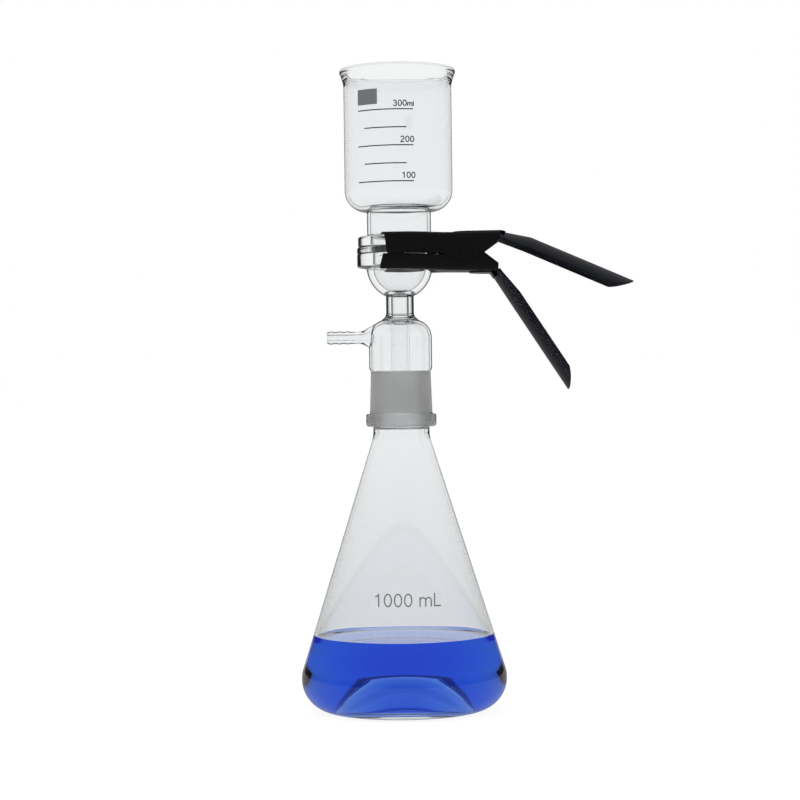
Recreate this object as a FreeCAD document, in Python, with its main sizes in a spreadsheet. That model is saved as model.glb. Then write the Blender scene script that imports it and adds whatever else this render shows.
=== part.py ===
"""Vacuum filtration unit: a conical flask, a ground-jointed filter head with a side arm
and a fused sintered disc, a flanged filter cup, and the spring clamp that holds them.

Millimetres. The origin is the centre of the flask's base on the surface it stands on.
+Z is up, +X points along the clamp towards its handles, and the side arm points to -X.
"""

import FreeCAD
import Part

import math
import os
import re

import Sketcher

SIZES = {
    # Conical flask
    "flask_diameter": 135.0,
    "flask_height": 223.0,
    "flask_corner": 21.4,
    "flask_wall": 2.2,
    "neck_drop": 7.9,
    "neck_diameter": 37.0,
    "neck_bore": 30.4,
    "neck_blend": 30.0,
    "foot_width": 4.1,
    "foot_round": 5.0,
    "base_rise": 10.5,
    "floor_wall": 8.1,
    "foot_wall": 7.0,
    "cavity_corner": 15.0,
    "liquid_level": 49.0,
    # Ground joint between flask and head, 1 in joint_taper on diameter
    "joint_diameter": 40.0,
    "joint_length": 35.0,
    "joint_taper": 10.0,
    "joint_step": 1.6,
    "joint_film": 0.02,
    "socket_wall": 1.4,
    "collar_diameter": 46.2,
    "collar_height": 8.2,
    "collar_drop": 1.3,
    "collar_round": 1.8,
    # Filter head above the joint
    "hood_diameter": 41.4,
    "hood_wall": 1.55,
    "hood_height": 34.0,
    "hood_shoulder": 12.0,
    "hood_step": 1.8,
    "drip_diameter": 12.2,
    "drip_bore": 9.8,
    "drip_depth": 26.0,
    "stem_diameter": 18.2,
    "stem_bore": 11.6,
    "stem_foot_diameter": 25.0,
    "stem_foot_height": 6.0,
    "stem_foot_round": 9.0,
    "bowl_lift": 34.9,
    "bowl_radius": 21.6,
    "bowl_inner_radius": 17.5,
    "bowl_to_face": 12.6,
    "bowl_fillet": 1.5,
    "head_flange_diameter": 55.5,
    "head_flange_thickness": 12.9,
    "head_flange_fall": 1.3,
    "head_flange_upper": 4.6,
    "head_groove": 0.8,
    "head_rim_round": 1.4,
    "disc_diameter": 37.0,
    "disc_thickness": 4.6,
    # Side arm on the hood
    "arm_lift": 22.3,
    "arm_reach": 48.2,
    "arm_diameter": 7.9,
    "arm_bore": 3.8,
    "arm_ridge": 0.35,
    "arm_ridge_pitch": 5.4,
    "arm_cone_reach": 25.5,
    "arm_cone_wall": 1.5,
    # Membrane and filter cup
    "membrane_diameter": 47.0,
    "membrane_thickness": 0.2,
    "cup_flange_diameter": 54.0,
    "cup_flange_thickness": 6.6,
    "cup_neck_diameter": 42.0,
    "cup_neck_bore": 38.0,
    "cup_neck_height": 16.7,
    "cup_neck_round": 1.4,
    "cup_diameter": 71.0,
    "cup_wall": 2.0,
    "cup_corner": 14.0,
    "cup_height": 93.5,
    "rim_diameter": 76.2,
    "rim_height": 10.0,
    "rim_bead": 2.0,
    # Enamel scale on the cup, angles from the front towards +X
    "enamel": 0.15,
    "marks_foot": 16.9,
    "marks_pitch": 11.57,
    "line_height": 0.7,
    "long_line_angle": 62.4,
    "long_line_start": 46.1,
    "short_line_angle": 46.4,
    "short_line_start": 37.5,
    "patch_height": 10.0,
    "patch_gap": 3.6,
    "patch_angle": 24.3,
    # Clamp jaws, each lever tilted off the joint plane about the pivot
    "jaw_sheet": 1.2,
    "jaw_bend": 2.0,
    "jaw_side_room": 0.6,
    "ear_play": 0.3,
    "upper_tilt": 0.4,
    "lower_tilt": 0.9,
    "upper_play": 0.3,
    "lower_sink": 1.35,
    "upper_fork_reach": 12.0,
    "lower_fork_reach": 13.0,
    "upper_lip": 2.4,
    "lower_lip": 0.4,
    "upper_lean": 1.6,
    "lower_lean": 2.2,
    "upper_edge": -1.35,
    "lower_edge": 2.6,
    "upper_notch": 1.5,
    "lower_notch": 0.5,
    "notch_reach": 26.0,
    "fork_tip_round": 2.4,
    "slot_width": 46.0,
    "slot_reach": 25.0,
    "taper_angle": 33.0,
    "taper_blend": 12.0,
    "jaw_rear_width": 34.0,
    "upper_rear_reach": 22.6,
    "lower_rear_reach": 21.3,
    "ear_radius": 6.8,
    "vee_height": 7.6,
    # Pivot and spring
    "pivot_reach": 43.4,
    "pin_diameter": 5.0,
    "pin_play": 0.05,
    "pin_head_diameter": 8.0,
    "pin_head_thickness": 1.0,
    "spring_wire": 1.8,
    "spring_radius": 4.4,
    "spring_turn_gap": 0.15,
    "spring_turns": 6,
    "spring_leg_angle": 18.0,
    "spring_end_play": 0.1,
    # Clamp handles
    "handle_sheet": 1.0,
    "handle_gap": 0.05,
    "tongue_width": 22.0,
    "upper_bend": 8.0,
    "upper_bend_angle": 23.9,
    "upper_tongue": 30.6,
    "upper_neck": 0.2,
    "upper_rise": 3.6,
    "upper_depth": 8.3,
    "lower_bend": 2.0,
    "lower_bend_angle": 56.0,
    "lower_bend_reach": 15.6,
    "lower_tongue": 12.9,
    "lower_neck": 2.5,
    "lower_rise": 0.1,
    "lower_depth": 7.6,
    "handle_length": 91.0,
    "handle_root_width": 33.0,
    "handle_root_depth": 5.3,
    "handle_root_length": 17.5,
    "upper_collar": 4.6,
    "lower_collar": 3.6,
    "handle_width": 36.0,
}

GLASS_TURN = 360.0
SCALE_LINES = 5

doc = FreeCAD.newDocument("vacuum_filtration_unit")


# ---------------------------------------------------------------- sheet and expressions


def make_sheet():
    """Puts each driving dimension in the spreadsheet under its own alias."""
    made = doc.addObject("Spreadsheet::Sheet", "Sizes")
    for row, (name, value) in enumerate(SIZES.items(), 1):
        made.set("A%d" % row, name)
        made.set("B%d" % row, str(value))
        made.setAlias("B%d" % row, name)
    doc.recompute()
    return made


sheet = make_sheet()


def bound(text):
    """An expression over the sheet's aliases, written here as bare words."""
    word = r"[a-z][a-z0-9_]*"
    return re.sub(word, lambda m: "Sizes." + m[0] if m[0] in SIZES else m[0], text)


def value(text):
    """What an expression comes to now, as a plain number."""
    found = sheet.evalExpression(bound(text))
    return float(getattr(found, "Value", found))


# ---------------------------------------------------------------- drawing helpers


def new_body(label):
    body = doc.addObject("PartDesign::Body", label)
    body.Label = label
    return body


def sketch_on(body, name, plane, lift=None, shift=None):
    """A sketch on one of the body's own planes, raised by lift or moved up it by shift."""
    sketch = body.newObject("Sketcher::SketchObject", name)
    planes = [f for f in body.Origin.OriginFeatures if f.Role == plane]
    sketch.AttachmentSupport = [(planes[0], "")]
    sketch.MapMode = "FlatFace"
    if lift:
        sketch.setExpression("AttachmentOffset.Base.z", bound(lift))
    if shift:
        sketch.setExpression("AttachmentOffset.Base.y", bound(shift))
    return sketch


def hold(sketch, edge, end, across, up):
    """Fixes one end of a sketch edge at two expressions; "0" puts it on the axis."""
    axis = {"DistanceX": -2, "DistanceY": -1}
    for kind, text in (("DistanceX", across), ("DistanceY", up)):
        if text == "0":
            sketch.addConstraint(Sketcher.Constraint("PointOnObject", edge, end, axis[kind]))
            continue
        rule = Sketcher.Constraint(kind, -1, 1, edge, end, value(text))
        number = sketch.addConstraint(rule)
        sketch.setExpression("Constraints[%d]" % number, bound(text))


def arc_between(start, finish, radius, turn):
    """The short arc from start to finish, turning left for +1 and right for -1."""
    chord = finish - start
    middle = (start + finish) * 0.5
    rise = math.sqrt(max(radius**2 - chord.Length**2 / 4, 0.0))
    side = FreeCAD.Vector(-chord.y, chord.x, 0).normalize() * (turn * rise)
    centre = middle + side
    circle = Part.Circle(centre, FreeCAD.Vector(0, 0, 1), radius)
    first, last = (start, finish) if turn > 0 else (finish, start)
    angles = [math.atan2(p.y - centre.y, p.x - centre.x) for p in (first, last)]
    return Part.ArcOfCircle(circle, angles[0], angles[1])


def draw(sketch, path):
    """Draws a closed outline and fixes it by expressions.

    path holds corners (across, up); a corner (across, up, radius, turn) is reached by
    an arc of that radius from the corner before it.
    """
    points = [FreeCAD.Vector(value(c[0]), value(c[1]), 0) for c in path]
    count = len(path)
    ends = []
    for i in range(count):
        after = (i + 1) % count
        corner = path[after]
        if len(corner) == 2:
            sketch.addGeometry(Part.LineSegment(points[i], points[after]))
            ends.append((1, 2))
        else:
            arc = arc_between(points[i], points[after], value(corner[2]), corner[3])
            sketch.addGeometry(arc)
            ends.append((1, 2) if corner[3] > 0 else (2, 1))
    for i in range(count):
        after = (i + 1) % count
        sketch.addConstraint(
            Sketcher.Constraint("Coincident", i, ends[i][1], after, ends[after][0])
        )
        hold(sketch, i, ends[i][0], path[i][0], path[i][1])
        if len(path[after]) == 4:
            radius = path[after][2]
            if near(points[i].distanceToPoint(points[after]), 2 * value(radius)):
                # A half circle is held by its centre instead
                held = "((%s) + (%s)) / 2" % (path[i][0], path[after][0])
                rule = Sketcher.Constraint("DistanceX", -1, 1, i, 3, value(held))
            else:
                rule = Sketcher.Constraint("Radius", i, value(radius))
                held = radius
            number = sketch.addConstraint(rule)
            sketch.setExpression("Constraints[%d]" % number, bound(held))
    return sketch


def draw_circle(sketch, radius):
    """A full circle about the sketch's origin."""
    centre = FreeCAD.Vector(0, 0, 0)
    sketch.addGeometry(Part.Circle(centre, FreeCAD.Vector(0, 0, 1), value(radius)))
    sketch.addConstraint(Sketcher.Constraint("Coincident", 0, 3, -1, 1))
    number = sketch.addConstraint(Sketcher.Constraint("Radius", 0, value(radius)))
    sketch.setExpression("Constraints[%d]" % number, bound(radius))
    return sketch


def walked_back(path):
    """The same corners in the opposite order, with each arc turning the other way."""
    back = []
    for i in range(len(path) - 1, -1, -1):
        corner = path[i][:2]
        if i + 1 < len(path) and len(path[i + 1]) == 4:
            corner += (path[i + 1][2], -path[i + 1][3])
        back.append(corner)
    return back


def mirrored(path):
    """A half outline given for y > 0, closed by its mirror image in the X axis."""
    other = []
    for corner in walked_back(path):
        flipped = (corner[0], "-(%s)" % corner[1])
        if len(corner) == 4:
            flipped += (corner[2], -corner[3])
        other.append(flipped)
    return list(path) + other


def turned(body, name, path, kind="PartDesign::Revolution", axis="V_Axis", shift=None):
    """Adds (Revolution) or cuts (Groove) a full turn of an outline in the XZ plane."""
    sketch = draw(sketch_on(body, name + "_outline", "XZ_Plane", shift=shift), path)
    feature = body.newObject(kind, name)
    feature.Profile = sketch
    feature.ReferenceAxis = (sketch, [axis])
    feature.Angle = GLASS_TURN
    sketch.Visibility = False
    doc.recompute()
    return feature


def raised(body, name, sketch, length):
    """Adds material from a sketch up along its normal."""
    feature = body.newObject("PartDesign::Pad", name)
    feature.Profile = sketch
    feature.setExpression("Length", bound(length))
    doc.recompute()
    return feature


def raised_both_ways(body, name, sketch, length):
    """Adds material from a sketch to half the length on each side of it."""
    feature = body.newObject("PartDesign::Pad", name)
    feature.Profile = sketch
    feature.SideType = "Symmetric"
    feature.setExpression("Length", bound(length))
    doc.recompute()
    return feature


def cut_below(body, name, sketch, length):
    """Cuts material from a sketch down against its normal."""
    before = body.Shape.Volume
    feature = body.newObject("PartDesign::Pocket", name)
    feature.Profile = sketch
    feature.setExpression("Length", bound(length))
    doc.recompute()
    expect_less(before, body, name)
    return feature


def cut_through(body, name, sketch):
    """Cuts material through the whole body on both sides of a sketch."""
    before = body.Shape.Volume
    feature = body.newObject("PartDesign::Pocket", name)
    feature.Profile = sketch
    feature.SideType = "Symmetric"
    feature.Type = "ThroughAll"
    doc.recompute()
    expect_less(before, body, name)
    return feature


def expect_less(before, body, name):
    if not body.Shape.Volume < before - 1e-3:
        raise RuntimeError("%s cut nothing from %s" % (name, body.Label))


def rounded(body, name, radius, chosen):
    """Rounds the edges of the body's last shape that chosen(middle, edge) accepts."""
    names = []
    for number, edge in enumerate(body.Tip.Shape.Edges, 1):
        span = edge.ParameterRange
        middle = edge.valueAt((span[0] + span[1]) / 2)
        if chosen(middle, edge):
            names.append("Edge%d" % number)
    feature = body.newObject("PartDesign::Fillet", name)
    feature.Base = (body.Tip if body.Tip != feature else feature.BaseFeature, names)
    feature.setExpression("Radius", bound(radius))
    doc.recompute()
    return feature


def near(a, b):
    return abs(a - b) < 1e-4


# ---------------------------------------------------------------- shared levels

JOINT_FOOT = "(flask_height - joint_length)"
HOOD_TOP = "(flask_height + hood_height)"
BOWL_CENTRE = "(%s + bowl_lift)" % HOOD_TOP
HEAD_TOP = "(%s + bowl_to_face)" % BOWL_CENTRE
HEAD_RIM_FOOT = "(%s - head_flange_thickness)" % HEAD_TOP
CUP_FACE = "(%s + membrane_thickness)" % HEAD_TOP
CUP_FLANGE_TOP = "(%s + cup_flange_thickness)" % CUP_FACE
CUP_FLOOR = "(%s + cup_neck_height)" % CUP_FLANGE_TOP
CUP_TOP = "(%s + cup_height)" % CUP_FLOOR


def joint_radius(level):
    """Radius of the flask's ground cone at a level."""
    return "(joint_diameter / 2 - (%s - %s) / (2 * joint_taper))" % (level, JOINT_FOOT)


def drop(radius, across):
    """How far below its centre a circle of one radius lies at a distance across."""
    return "sqrt((%s)^2 - (%s)^2)" % (radius, across)


def cap_radius(half_width, height):
    """Radius of an arc that rises by height over half its width."""
    return "(((%s)^2 + (%s)^2) / (2 * (%s)))" % (half_width, height, height)


# ---------------------------------------------------------------- flask and filtrate

CORNER_CENTRE = "(flask_diameter / 2 - flask_corner)"
FOOT_INSIDE = "(%s - foot_width)" % CORNER_CENTRE
FLOOR_TOP = "(base_rise + floor_wall)"
# The cone touches the round corner and meets the neck a little below the joint
NECK_UP = "(%s - neck_drop)" % JOINT_FOOT
CONE_RUN = "(%s - neck_diameter / 2)" % CORNER_CENTRE
CONE_RISE = "(%s - flask_corner)" % NECK_UP
CONE_ANGLE = "(atan2(%s; %s) + asin(flask_corner / sqrt(%s^2 + %s^2)))" % (
    CONE_RUN,
    CONE_RISE,
    CONE_RUN,
    CONE_RISE,
)
# The cavity has its own round corner, which touches the cone one wall inside
CAVITY_UP = "(foot_wall + cavity_corner)"
CAVITY_SHIFT = "(flask_corner - flask_wall - cavity_corner + (flask_corner - %s) * sin(%s))" % (
    CAVITY_UP,
    CONE_ANGLE,
)
CAVITY_CENTRE = "(%s + %s / cos(%s))" % (CORNER_CENTRE, CAVITY_SHIFT, CONE_ANGLE)
CAVITY_SIDE = "(%s + cavity_corner * cos(%s))" % (CAVITY_CENTRE, CONE_ANGLE)
CAVITY_SIDE_UP = "(%s + cavity_corner * sin(%s))" % (CAVITY_UP, CONE_ANGLE)


def cone_meets(radius, side, side_up):
    """Level at which the cone through (side, side_up) reaches a radius."""
    return "(%s + (%s - %s) / tan(%s))" % (side_up, side, radius, CONE_ANGLE)


def pushed_up(crown, foot, centre, rounding):
    """A dome from its crown to where it runs into the round foot about a centre."""
    rise = "(%s - %s)" % (crown, foot)
    both = cap_radius(centre, rise)
    return [
        ("0", crown),
        (
            "%s - %s * %s / %s" % (centre, centre, rounding, both),
            "%s + %s * %s / %s" % (foot, rounding, rise, both),
            "%s - %s" % (both, rounding),
            -1,
        ),
    ]


def cavity_floor():
    """The inside of the flask from its middle out to the cone."""
    dome = pushed_up(FLOOR_TOP, "foot_wall", CAVITY_CENTRE, "cavity_corner")
    return dome + [(CAVITY_SIDE, CAVITY_SIDE_UP, "cavity_corner", 1)]


def make_flask():
    side = "(%s + flask_corner * cos(%s))" % (CORNER_CENTRE, CONE_ANGLE)
    side_up = "(flask_corner + flask_corner * sin(%s))" % CONE_ANGLE
    neck = "(neck_diameter / 2)"
    bore = "(neck_bore / 2)"
    bore_up = cone_meets(bore, CAVITY_SIDE, CAVITY_SIDE_UP)
    outer_tangent = "(neck_blend * tan(%s / 2))" % CONE_ANGLE
    inner_blend = "(neck_blend + neck_diameter / 2 - neck_bore / 2)"
    inner_tangent = "(%s * tan(%s / 2))" % (inner_blend, CONE_ANGLE)
    outside = pushed_up("base_rise", "0", FOOT_INSIDE, "foot_round") + [
        (FOOT_INSIDE, "0", "foot_round", 1),
        (CORNER_CENTRE, "0"),
        (side, side_up, "flask_corner", 1),
        (
            "%s + %s * sin(%s)" % (neck, outer_tangent, CONE_ANGLE),
            "%s - %s * cos(%s)" % (NECK_UP, outer_tangent, CONE_ANGLE),
        ),
        (neck, "%s + %s" % (NECK_UP, outer_tangent), "neck_blend", -1),
        (neck, "%s - joint_step" % JOINT_FOOT),
        ("joint_diameter / 2", JOINT_FOOT),
        (joint_radius("flask_height"), "flask_height"),
    ]
    inside = [
        (bore, "flask_height"),
        (bore, "%s + %s" % (bore_up, inner_tangent)),
        (
            "%s + %s * sin(%s)" % (bore, inner_tangent, CONE_ANGLE),
            "%s - %s * cos(%s)" % (bore_up, inner_tangent, CONE_ANGLE),
            inner_blend,
            1,
        ),
    ]
    body = new_body("conical_flask")
    turned(body, "blown_glass", outside + inside + walked_back(cavity_floor()))
    return body


def make_filtrate():
    """The liquid fills the flask's cavity up to its level."""
    fall = "(liquid_level - %s) * tan(%s)" % (CAVITY_SIDE_UP, CONE_ANGLE)
    surface = [("%s - %s" % (CAVITY_SIDE, fall), "liquid_level"), ("0", "liquid_level")]
    body = new_body("filtrate")
    turned(body, "liquid", cavity_floor() + surface)
    return body


# ---------------------------------------------------------------- filter head

HOOD_CENTRE = "(hood_diameter / 2 - hood_shoulder)"
STEM_FOOT_UP = "(%s - hood_shoulder + %s)" % (
    HOOD_TOP,
    drop("hood_shoulder", "stem_foot_diameter / 2 - %s" % HOOD_CENTRE),
)
SOCKET_END = "(%s - collar_drop)" % JOINT_FOOT
DRIP_TIP = "(flask_height - drip_depth)"


def head_outside():
    collar_top = "(%s + collar_height)" % SOCKET_END
    flange = "(head_flange_diameter / 2)"
    groove_up = "(%s - head_flange_upper)" % HEAD_TOP
    under = "(%s - head_flange_fall)" % HEAD_RIM_FOOT
    return [
        ("0", SOCKET_END),
        ("collar_diameter / 2 - collar_round", SOCKET_END),
        ("collar_diameter / 2", "%s + collar_round" % SOCKET_END, "collar_round", 1),
        ("collar_diameter / 2", collar_top),
        ("%s + joint_film + socket_wall" % joint_radius(collar_top), collar_top),
        ("%s + joint_film + socket_wall" % joint_radius("flask_height"), "flask_height"),
        ("hood_diameter / 2", "flask_height + hood_step"),
        ("hood_diameter / 2", "%s - hood_shoulder" % HOOD_TOP),
        ("stem_foot_diameter / 2", STEM_FOOT_UP, "hood_shoulder", 1),
        (
            "stem_diameter / 2",
            "%s + stem_foot_height" % STEM_FOOT_UP,
            "stem_foot_round",
            -1,
        ),
        (
            "stem_diameter / 2",
            "%s - %s" % (BOWL_CENTRE, drop("bowl_radius", "stem_diameter / 2")),
        ),
        (
            drop("bowl_radius", "%s - %s" % (BOWL_CENTRE, under)),
            under,
            "bowl_radius",
            1,
        ),
        (flange, HEAD_RIM_FOOT),
        (flange, "%s - head_groove / 2" % groove_up),
        ("%s - head_groove" % flange, groove_up),
        (flange, "%s + head_groove / 2" % groove_up),
        (flange, "%s - head_rim_round" % HEAD_TOP),
        ("%s - head_rim_round" % flange, HEAD_TOP, "head_rim_round", 1),
        ("0", HEAD_TOP),
    ]


def head_passage():
    """The way down for the filtrate: disc seat, bowl, stem and drip tube."""
    ledge = "(%s - disc_thickness)" % HEAD_TOP
    return [
        ("0", HEAD_TOP),
        ("0", DRIP_TIP),
        ("drip_bore / 2", DRIP_TIP),
        ("drip_bore / 2", "%s - hood_wall" % HOOD_TOP),
        ("stem_bore / 2", STEM_FOOT_UP),
        (
            "stem_bore / 2",
            "%s - %s" % (BOWL_CENTRE, drop("bowl_inner_radius", "stem_bore / 2")),
        ),
        ("bowl_inner_radius", BOWL_CENTRE, "bowl_inner_radius", 1),
        ("bowl_inner_radius", ledge),
        ("disc_diameter / 2", ledge),
        ("disc_diameter / 2", HEAD_TOP),
    ]


def head_annulus():
    """The ground socket and the air space between the hood and the drip tube."""
    below = "(%s - 1)" % SOCKET_END
    mouth = "joint_diameter / 2 + joint_film"
    hood = "(hood_diameter / 2 - hood_wall)"
    return [
        ("0", below),
        (mouth, below),
        (mouth, JOINT_FOOT),
        ("%s + joint_film" % joint_radius("flask_height"), "flask_height"),
        (hood, "flask_height + hood_step"),
        (hood, "%s - hood_shoulder" % HOOD_TOP),
        (HOOD_CENTRE, "%s - hood_wall" % HOOD_TOP, "hood_shoulder - hood_wall", 1),
        ("drip_diameter / 2", "%s - hood_wall" % HOOD_TOP),
        ("drip_diameter / 2", DRIP_TIP),
        ("0", DRIP_TIP),
    ]


def arm_outside():
    """Hose end with three ridges, and the cone that joins it to the hood's shoulder."""
    radius = "arm_diameter / 2"
    ridge = cap_radius("arm_ridge_pitch / 2", "arm_ridge")
    path = [("-arm_reach", "0"), ("-arm_reach", radius)]
    for count in (1, 2, 3):
        path.append(("-arm_reach + %d * arm_ridge_pitch" % count, radius, ridge, -1))
    path.append(("-arm_cone_reach", radius))
    path.append(("-stem_foot_diameter / 2", "%s - flask_height - arm_lift" % STEM_FOOT_UP))
    path.append(("-stem_foot_diameter / 2", "0"))
    return path


def arm_inside():
    """The arm's bore, widening into the hood's air space clear of the drip tube."""
    root = "(stem_foot_diameter / 2)"
    rise = "(%s - flask_height - arm_lift - arm_diameter / 2)" % STEM_FOOT_UP
    slope = "(%s / (arm_cone_reach - %s))" % (rise, root)
    offset = "(arm_cone_wall * sqrt(1 + %s^2))" % slope
    inner_end = "(%s + 2 * arm_cone_wall)" % root
    wide = "(arm_diameter / 2 + (arm_cone_reach - %s) * %s - %s)" % (inner_end, slope, offset)
    narrow = "(arm_cone_reach - (arm_bore / 2 + %s - arm_diameter / 2) / %s)" % (offset, slope)
    return [
        ("-arm_reach - 1", "0"),
        ("-arm_reach - 1", "arm_bore / 2"),
        ("-%s" % narrow, "arm_bore / 2"),
        ("-%s" % inner_end, wide),
        ("-%s" % inner_end, "0"),
    ]


def make_head():
    arm_level = "flask_height + arm_lift"
    groove = "PartDesign::Groove"
    under = value("%s - head_flange_fall" % HEAD_RIM_FOOT)
    rim_foot = value(HEAD_RIM_FOOT)
    rim = value("head_flange_diameter / 2")

    def at_bowl(middle, edge):
        return near(middle.z, under) and edge.Closed

    def at_rim_foot(middle, edge):
        return near(middle.z, rim_foot) and near(math.hypot(middle.x, middle.y), rim)

    body = new_body("filter_head")
    turned(body, "head_blank", head_outside())
    rounded(body, "bowl_blend", "bowl_fillet", at_bowl)
    rounded(body, "rim_foot", "head_rim_round / 2", at_rim_foot)
    turned(body, "side_arm", arm_outside(), axis="H_Axis", shift=arm_level)
    turned(body, "passage", head_passage(), kind=groove)
    turned(body, "air_space", head_annulus(), kind=groove)
    turned(body, "arm_bore_cut", arm_inside(), kind=groove, axis="H_Axis", shift=arm_level)
    return body


# ---------------------------------------------------------------- discs


def disc(label, diameter, foot, thickness):
    body = new_body(label)
    sketch = draw_circle(sketch_on(body, label + "_outline", "XY_Plane", lift=foot), diameter)
    raised(body, label + "_pad", sketch, thickness)
    return body


def make_sintered_disc():
    foot = "%s - disc_thickness" % HEAD_TOP
    return disc("sintered_disc", "disc_diameter / 2", foot, "disc_thickness")


def make_membrane():
    return disc("membrane_filter", "membrane_diameter / 2", HEAD_TOP, "membrane_thickness")


# ---------------------------------------------------------------- filter cup


def make_cup():
    flange = "(cup_flange_diameter / 2)"
    neck = "(cup_neck_diameter / 2)"
    bore = "(cup_neck_bore / 2)"
    wall = "(cup_diameter / 2)"
    inside = "(cup_diameter / 2 - cup_wall)"
    corner = "(cup_diameter / 2 - cup_corner)"
    bead_across = "(rim_diameter / 2 - rim_bead)"
    bead_up = "(%s - rim_bead)" % CUP_TOP
    path = [
        (bore, CUP_FACE),
        (flange, CUP_FACE),
        (flange, CUP_FLANGE_TOP),
        ("%s + cup_neck_round" % neck, CUP_FLANGE_TOP),
        (neck, "%s + cup_neck_round" % CUP_FLANGE_TOP, "cup_neck_round", -1),
        (neck, CUP_FLOOR),
        (corner, CUP_FLOOR),
        (wall, "%s + cup_corner" % CUP_FLOOR, "cup_corner", 1),
        (wall, "%s - rim_height" % CUP_TOP),
        ("%s + rim_bead * cos(45)" % bead_across, "%s - rim_bead * sin(45)" % bead_up),
        (
            "%s - rim_bead * cos(45)" % bead_across,
            "%s + rim_bead * sin(45)" % bead_up,
            "rim_bead",
            1,
        ),
        (inside, "%s - rim_height" % CUP_TOP),
        (inside, "%s + cup_corner" % CUP_FLOOR),
        (corner, "%s + cup_wall" % CUP_FLOOR, "cup_corner - cup_wall", -1),
        (bore, "%s + cup_wall" % CUP_FLOOR),
    ]
    body = new_body("filter_cup")
    turned(body, "cup_glass", path)
    return body


# ---------------------------------------------------------------- enamel scale


def sector(name, foot, height, start, span):
    """A slice of a cylinder one enamel coat wider than the cup."""
    piece = doc.addObject("Part::Cylinder", name)
    piece.setExpression("Radius", bound("cup_diameter / 2 + enamel"))
    piece.setExpression("Height", bound(height))
    piece.setExpression("Angle", bound(span))
    turn = "create(<<rotation>>; create(<<vector>>; 0; 0; 1); -90 - %s)" % start
    place = "create(<<placement>>; create(<<vector>>; 0; 0; %s); %s)" % (foot, turn)
    piece.setExpression("Placement", bound(place))
    return piece


def make_scale():
    """Five graduation lines, long at each full hundred, and a plain patch above them."""
    pieces = []
    for i in range(SCALE_LINES):
        kind = "short" if i % 2 else "long"
        level = "%s + marks_foot + %d * marks_pitch - line_height / 2" % (CUP_FLOOR, i)
        start = "%s_line_start" % kind
        span = "%s_line_angle" % kind
        pieces.append(sector("line_%d" % (i + 1), level, "line_height", start, span))
    top_line = "%s + marks_foot + %d * marks_pitch" % (CUP_FLOOR, SCALE_LINES - 1)
    patch_foot = "%s + patch_gap" % top_line
    pieces.append(
        sector("patch", patch_foot, "patch_height", "long_line_start", "patch_angle")
    )
    coat = doc.addObject("Part::Compound", "enamel_coat")
    coat.Links = pieces
    glass = doc.addObject("Part::Cylinder", "cup_outside")
    glass.setExpression("Radius", bound("cup_diameter / 2"))
    glass.setExpression("Height", bound("%s + cup_height" % CUP_TOP))
    scale = doc.addObject("Part::Cut", "cup_scale")
    scale.Label = "cup_scale"
    scale.Base = coat
    scale.Tool = glass
    doc.recompute()
    return scale


# ---------------------------------------------------------------- clamp frames

# Levels that the webs' inner faces reach at their fork tips
UPPER_GRIP = "(%s + upper_play)" % CUP_FLANGE_TOP
LOWER_GRIP = "(%s - lower_sink)" % HEAD_RIM_FOOT
UPPER_GAIN = "((pivot_reach + upper_fork_reach) * sin(upper_tilt))"
LOWER_GAIN = "((pivot_reach + lower_fork_reach) * sin(lower_tilt))"
# Both webs stand equally far from the pivot, which sets the pivot's level
PIVOT_UP = "((%s + %s + %s - %s) / 2)" % (UPPER_GRIP, LOWER_GRIP, UPPER_GAIN, LOWER_GAIN)
WEB = "((%s - %s + %s + %s) / 2)" % (UPPER_GRIP, LOWER_GRIP, UPPER_GAIN, LOWER_GAIN)
WEB_OUTSIDE = "(%s + jaw_sheet)" % WEB
INNER_FORK = "(head_flange_diameter / 2 + jaw_side_room + jaw_sheet)"
OUTER_FORK = "(%s + jaw_sheet + ear_play)" % INNER_FORK
OUTER_REAR = "(jaw_rear_width / 2)"
INNER_REAR = "(%s - jaw_sheet - ear_play)" % OUTER_REAR


def placed(across, up, axis, angle):
    """A placement expression: a move in XZ and a turn about one axis."""
    move = "create(<<vector>>; %s; 0; %s)" % (across, up)
    turn = "create(<<rotation>>; create(<<vector>>; %s); %s)" % (axis, angle)
    return "create(<<placement>>; %s; %s)" % (move, turn)


ABOUT_Y = "0; 1; 0"
ABOUT_X = "1; 0; 0"
UPPER_LEVER = placed("pivot_reach", PIVOT_UP, ABOUT_Y, "-upper_tilt")
LOWER_LEVER = "%s * %s" % (
    placed("pivot_reach", PIVOT_UP, ABOUT_Y, "lower_tilt"),
    placed("0", "0", ABOUT_X, "180"),
)

# ---------------------------------------------------------------- clamp jaws


def jaw_half_plan(fork, rear, front, back, blend):
    """Half of a jaw's plan: fork side, arc round the flange, taper and straight rear."""
    axis = "(-pivot_reach)"
    away = "(90 - taper_angle)"
    corner = "(%s + (%s - %s * sin%s) / cos%s)" % (axis, fork, rear, away, away)
    tangent = "(%s * tan(taper_angle / 2))" % blend
    return [
        (front, fork),
        (axis, fork),
        ("%s + %s * cos%s" % (axis, fork, away), "%s * sin%s" % (fork, away), fork, -1),
        (
            "%s - %s * cos(taper_angle)" % (corner, tangent),
            "%s + %s * sin(taper_angle)" % (rear, tangent),
        ),
        ("%s + %s" % (corner, tangent), rear, blend, 1),
        (back, rear),
    ]


def jaw_blank_plan(side, fork, rear):
    """The jaw's whole plan, with the slot that goes round the neck."""
    front = "(-pivot_reach - %s_fork_reach)" % side
    back = "%s_rear_reach" % side
    slot = "(slot_width / 2)"
    slot_centre = "-pivot_reach + slot_reach - slot_width / 2"
    outline = mirrored(jaw_half_plan(fork, rear, front, back, "taper_blend"))
    return outline + [
        (front, "-%s" % slot),
        (slot_centre, "-%s" % slot),
        (slot_centre, slot, slot, 1),
        (front, slot),
    ]


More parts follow.
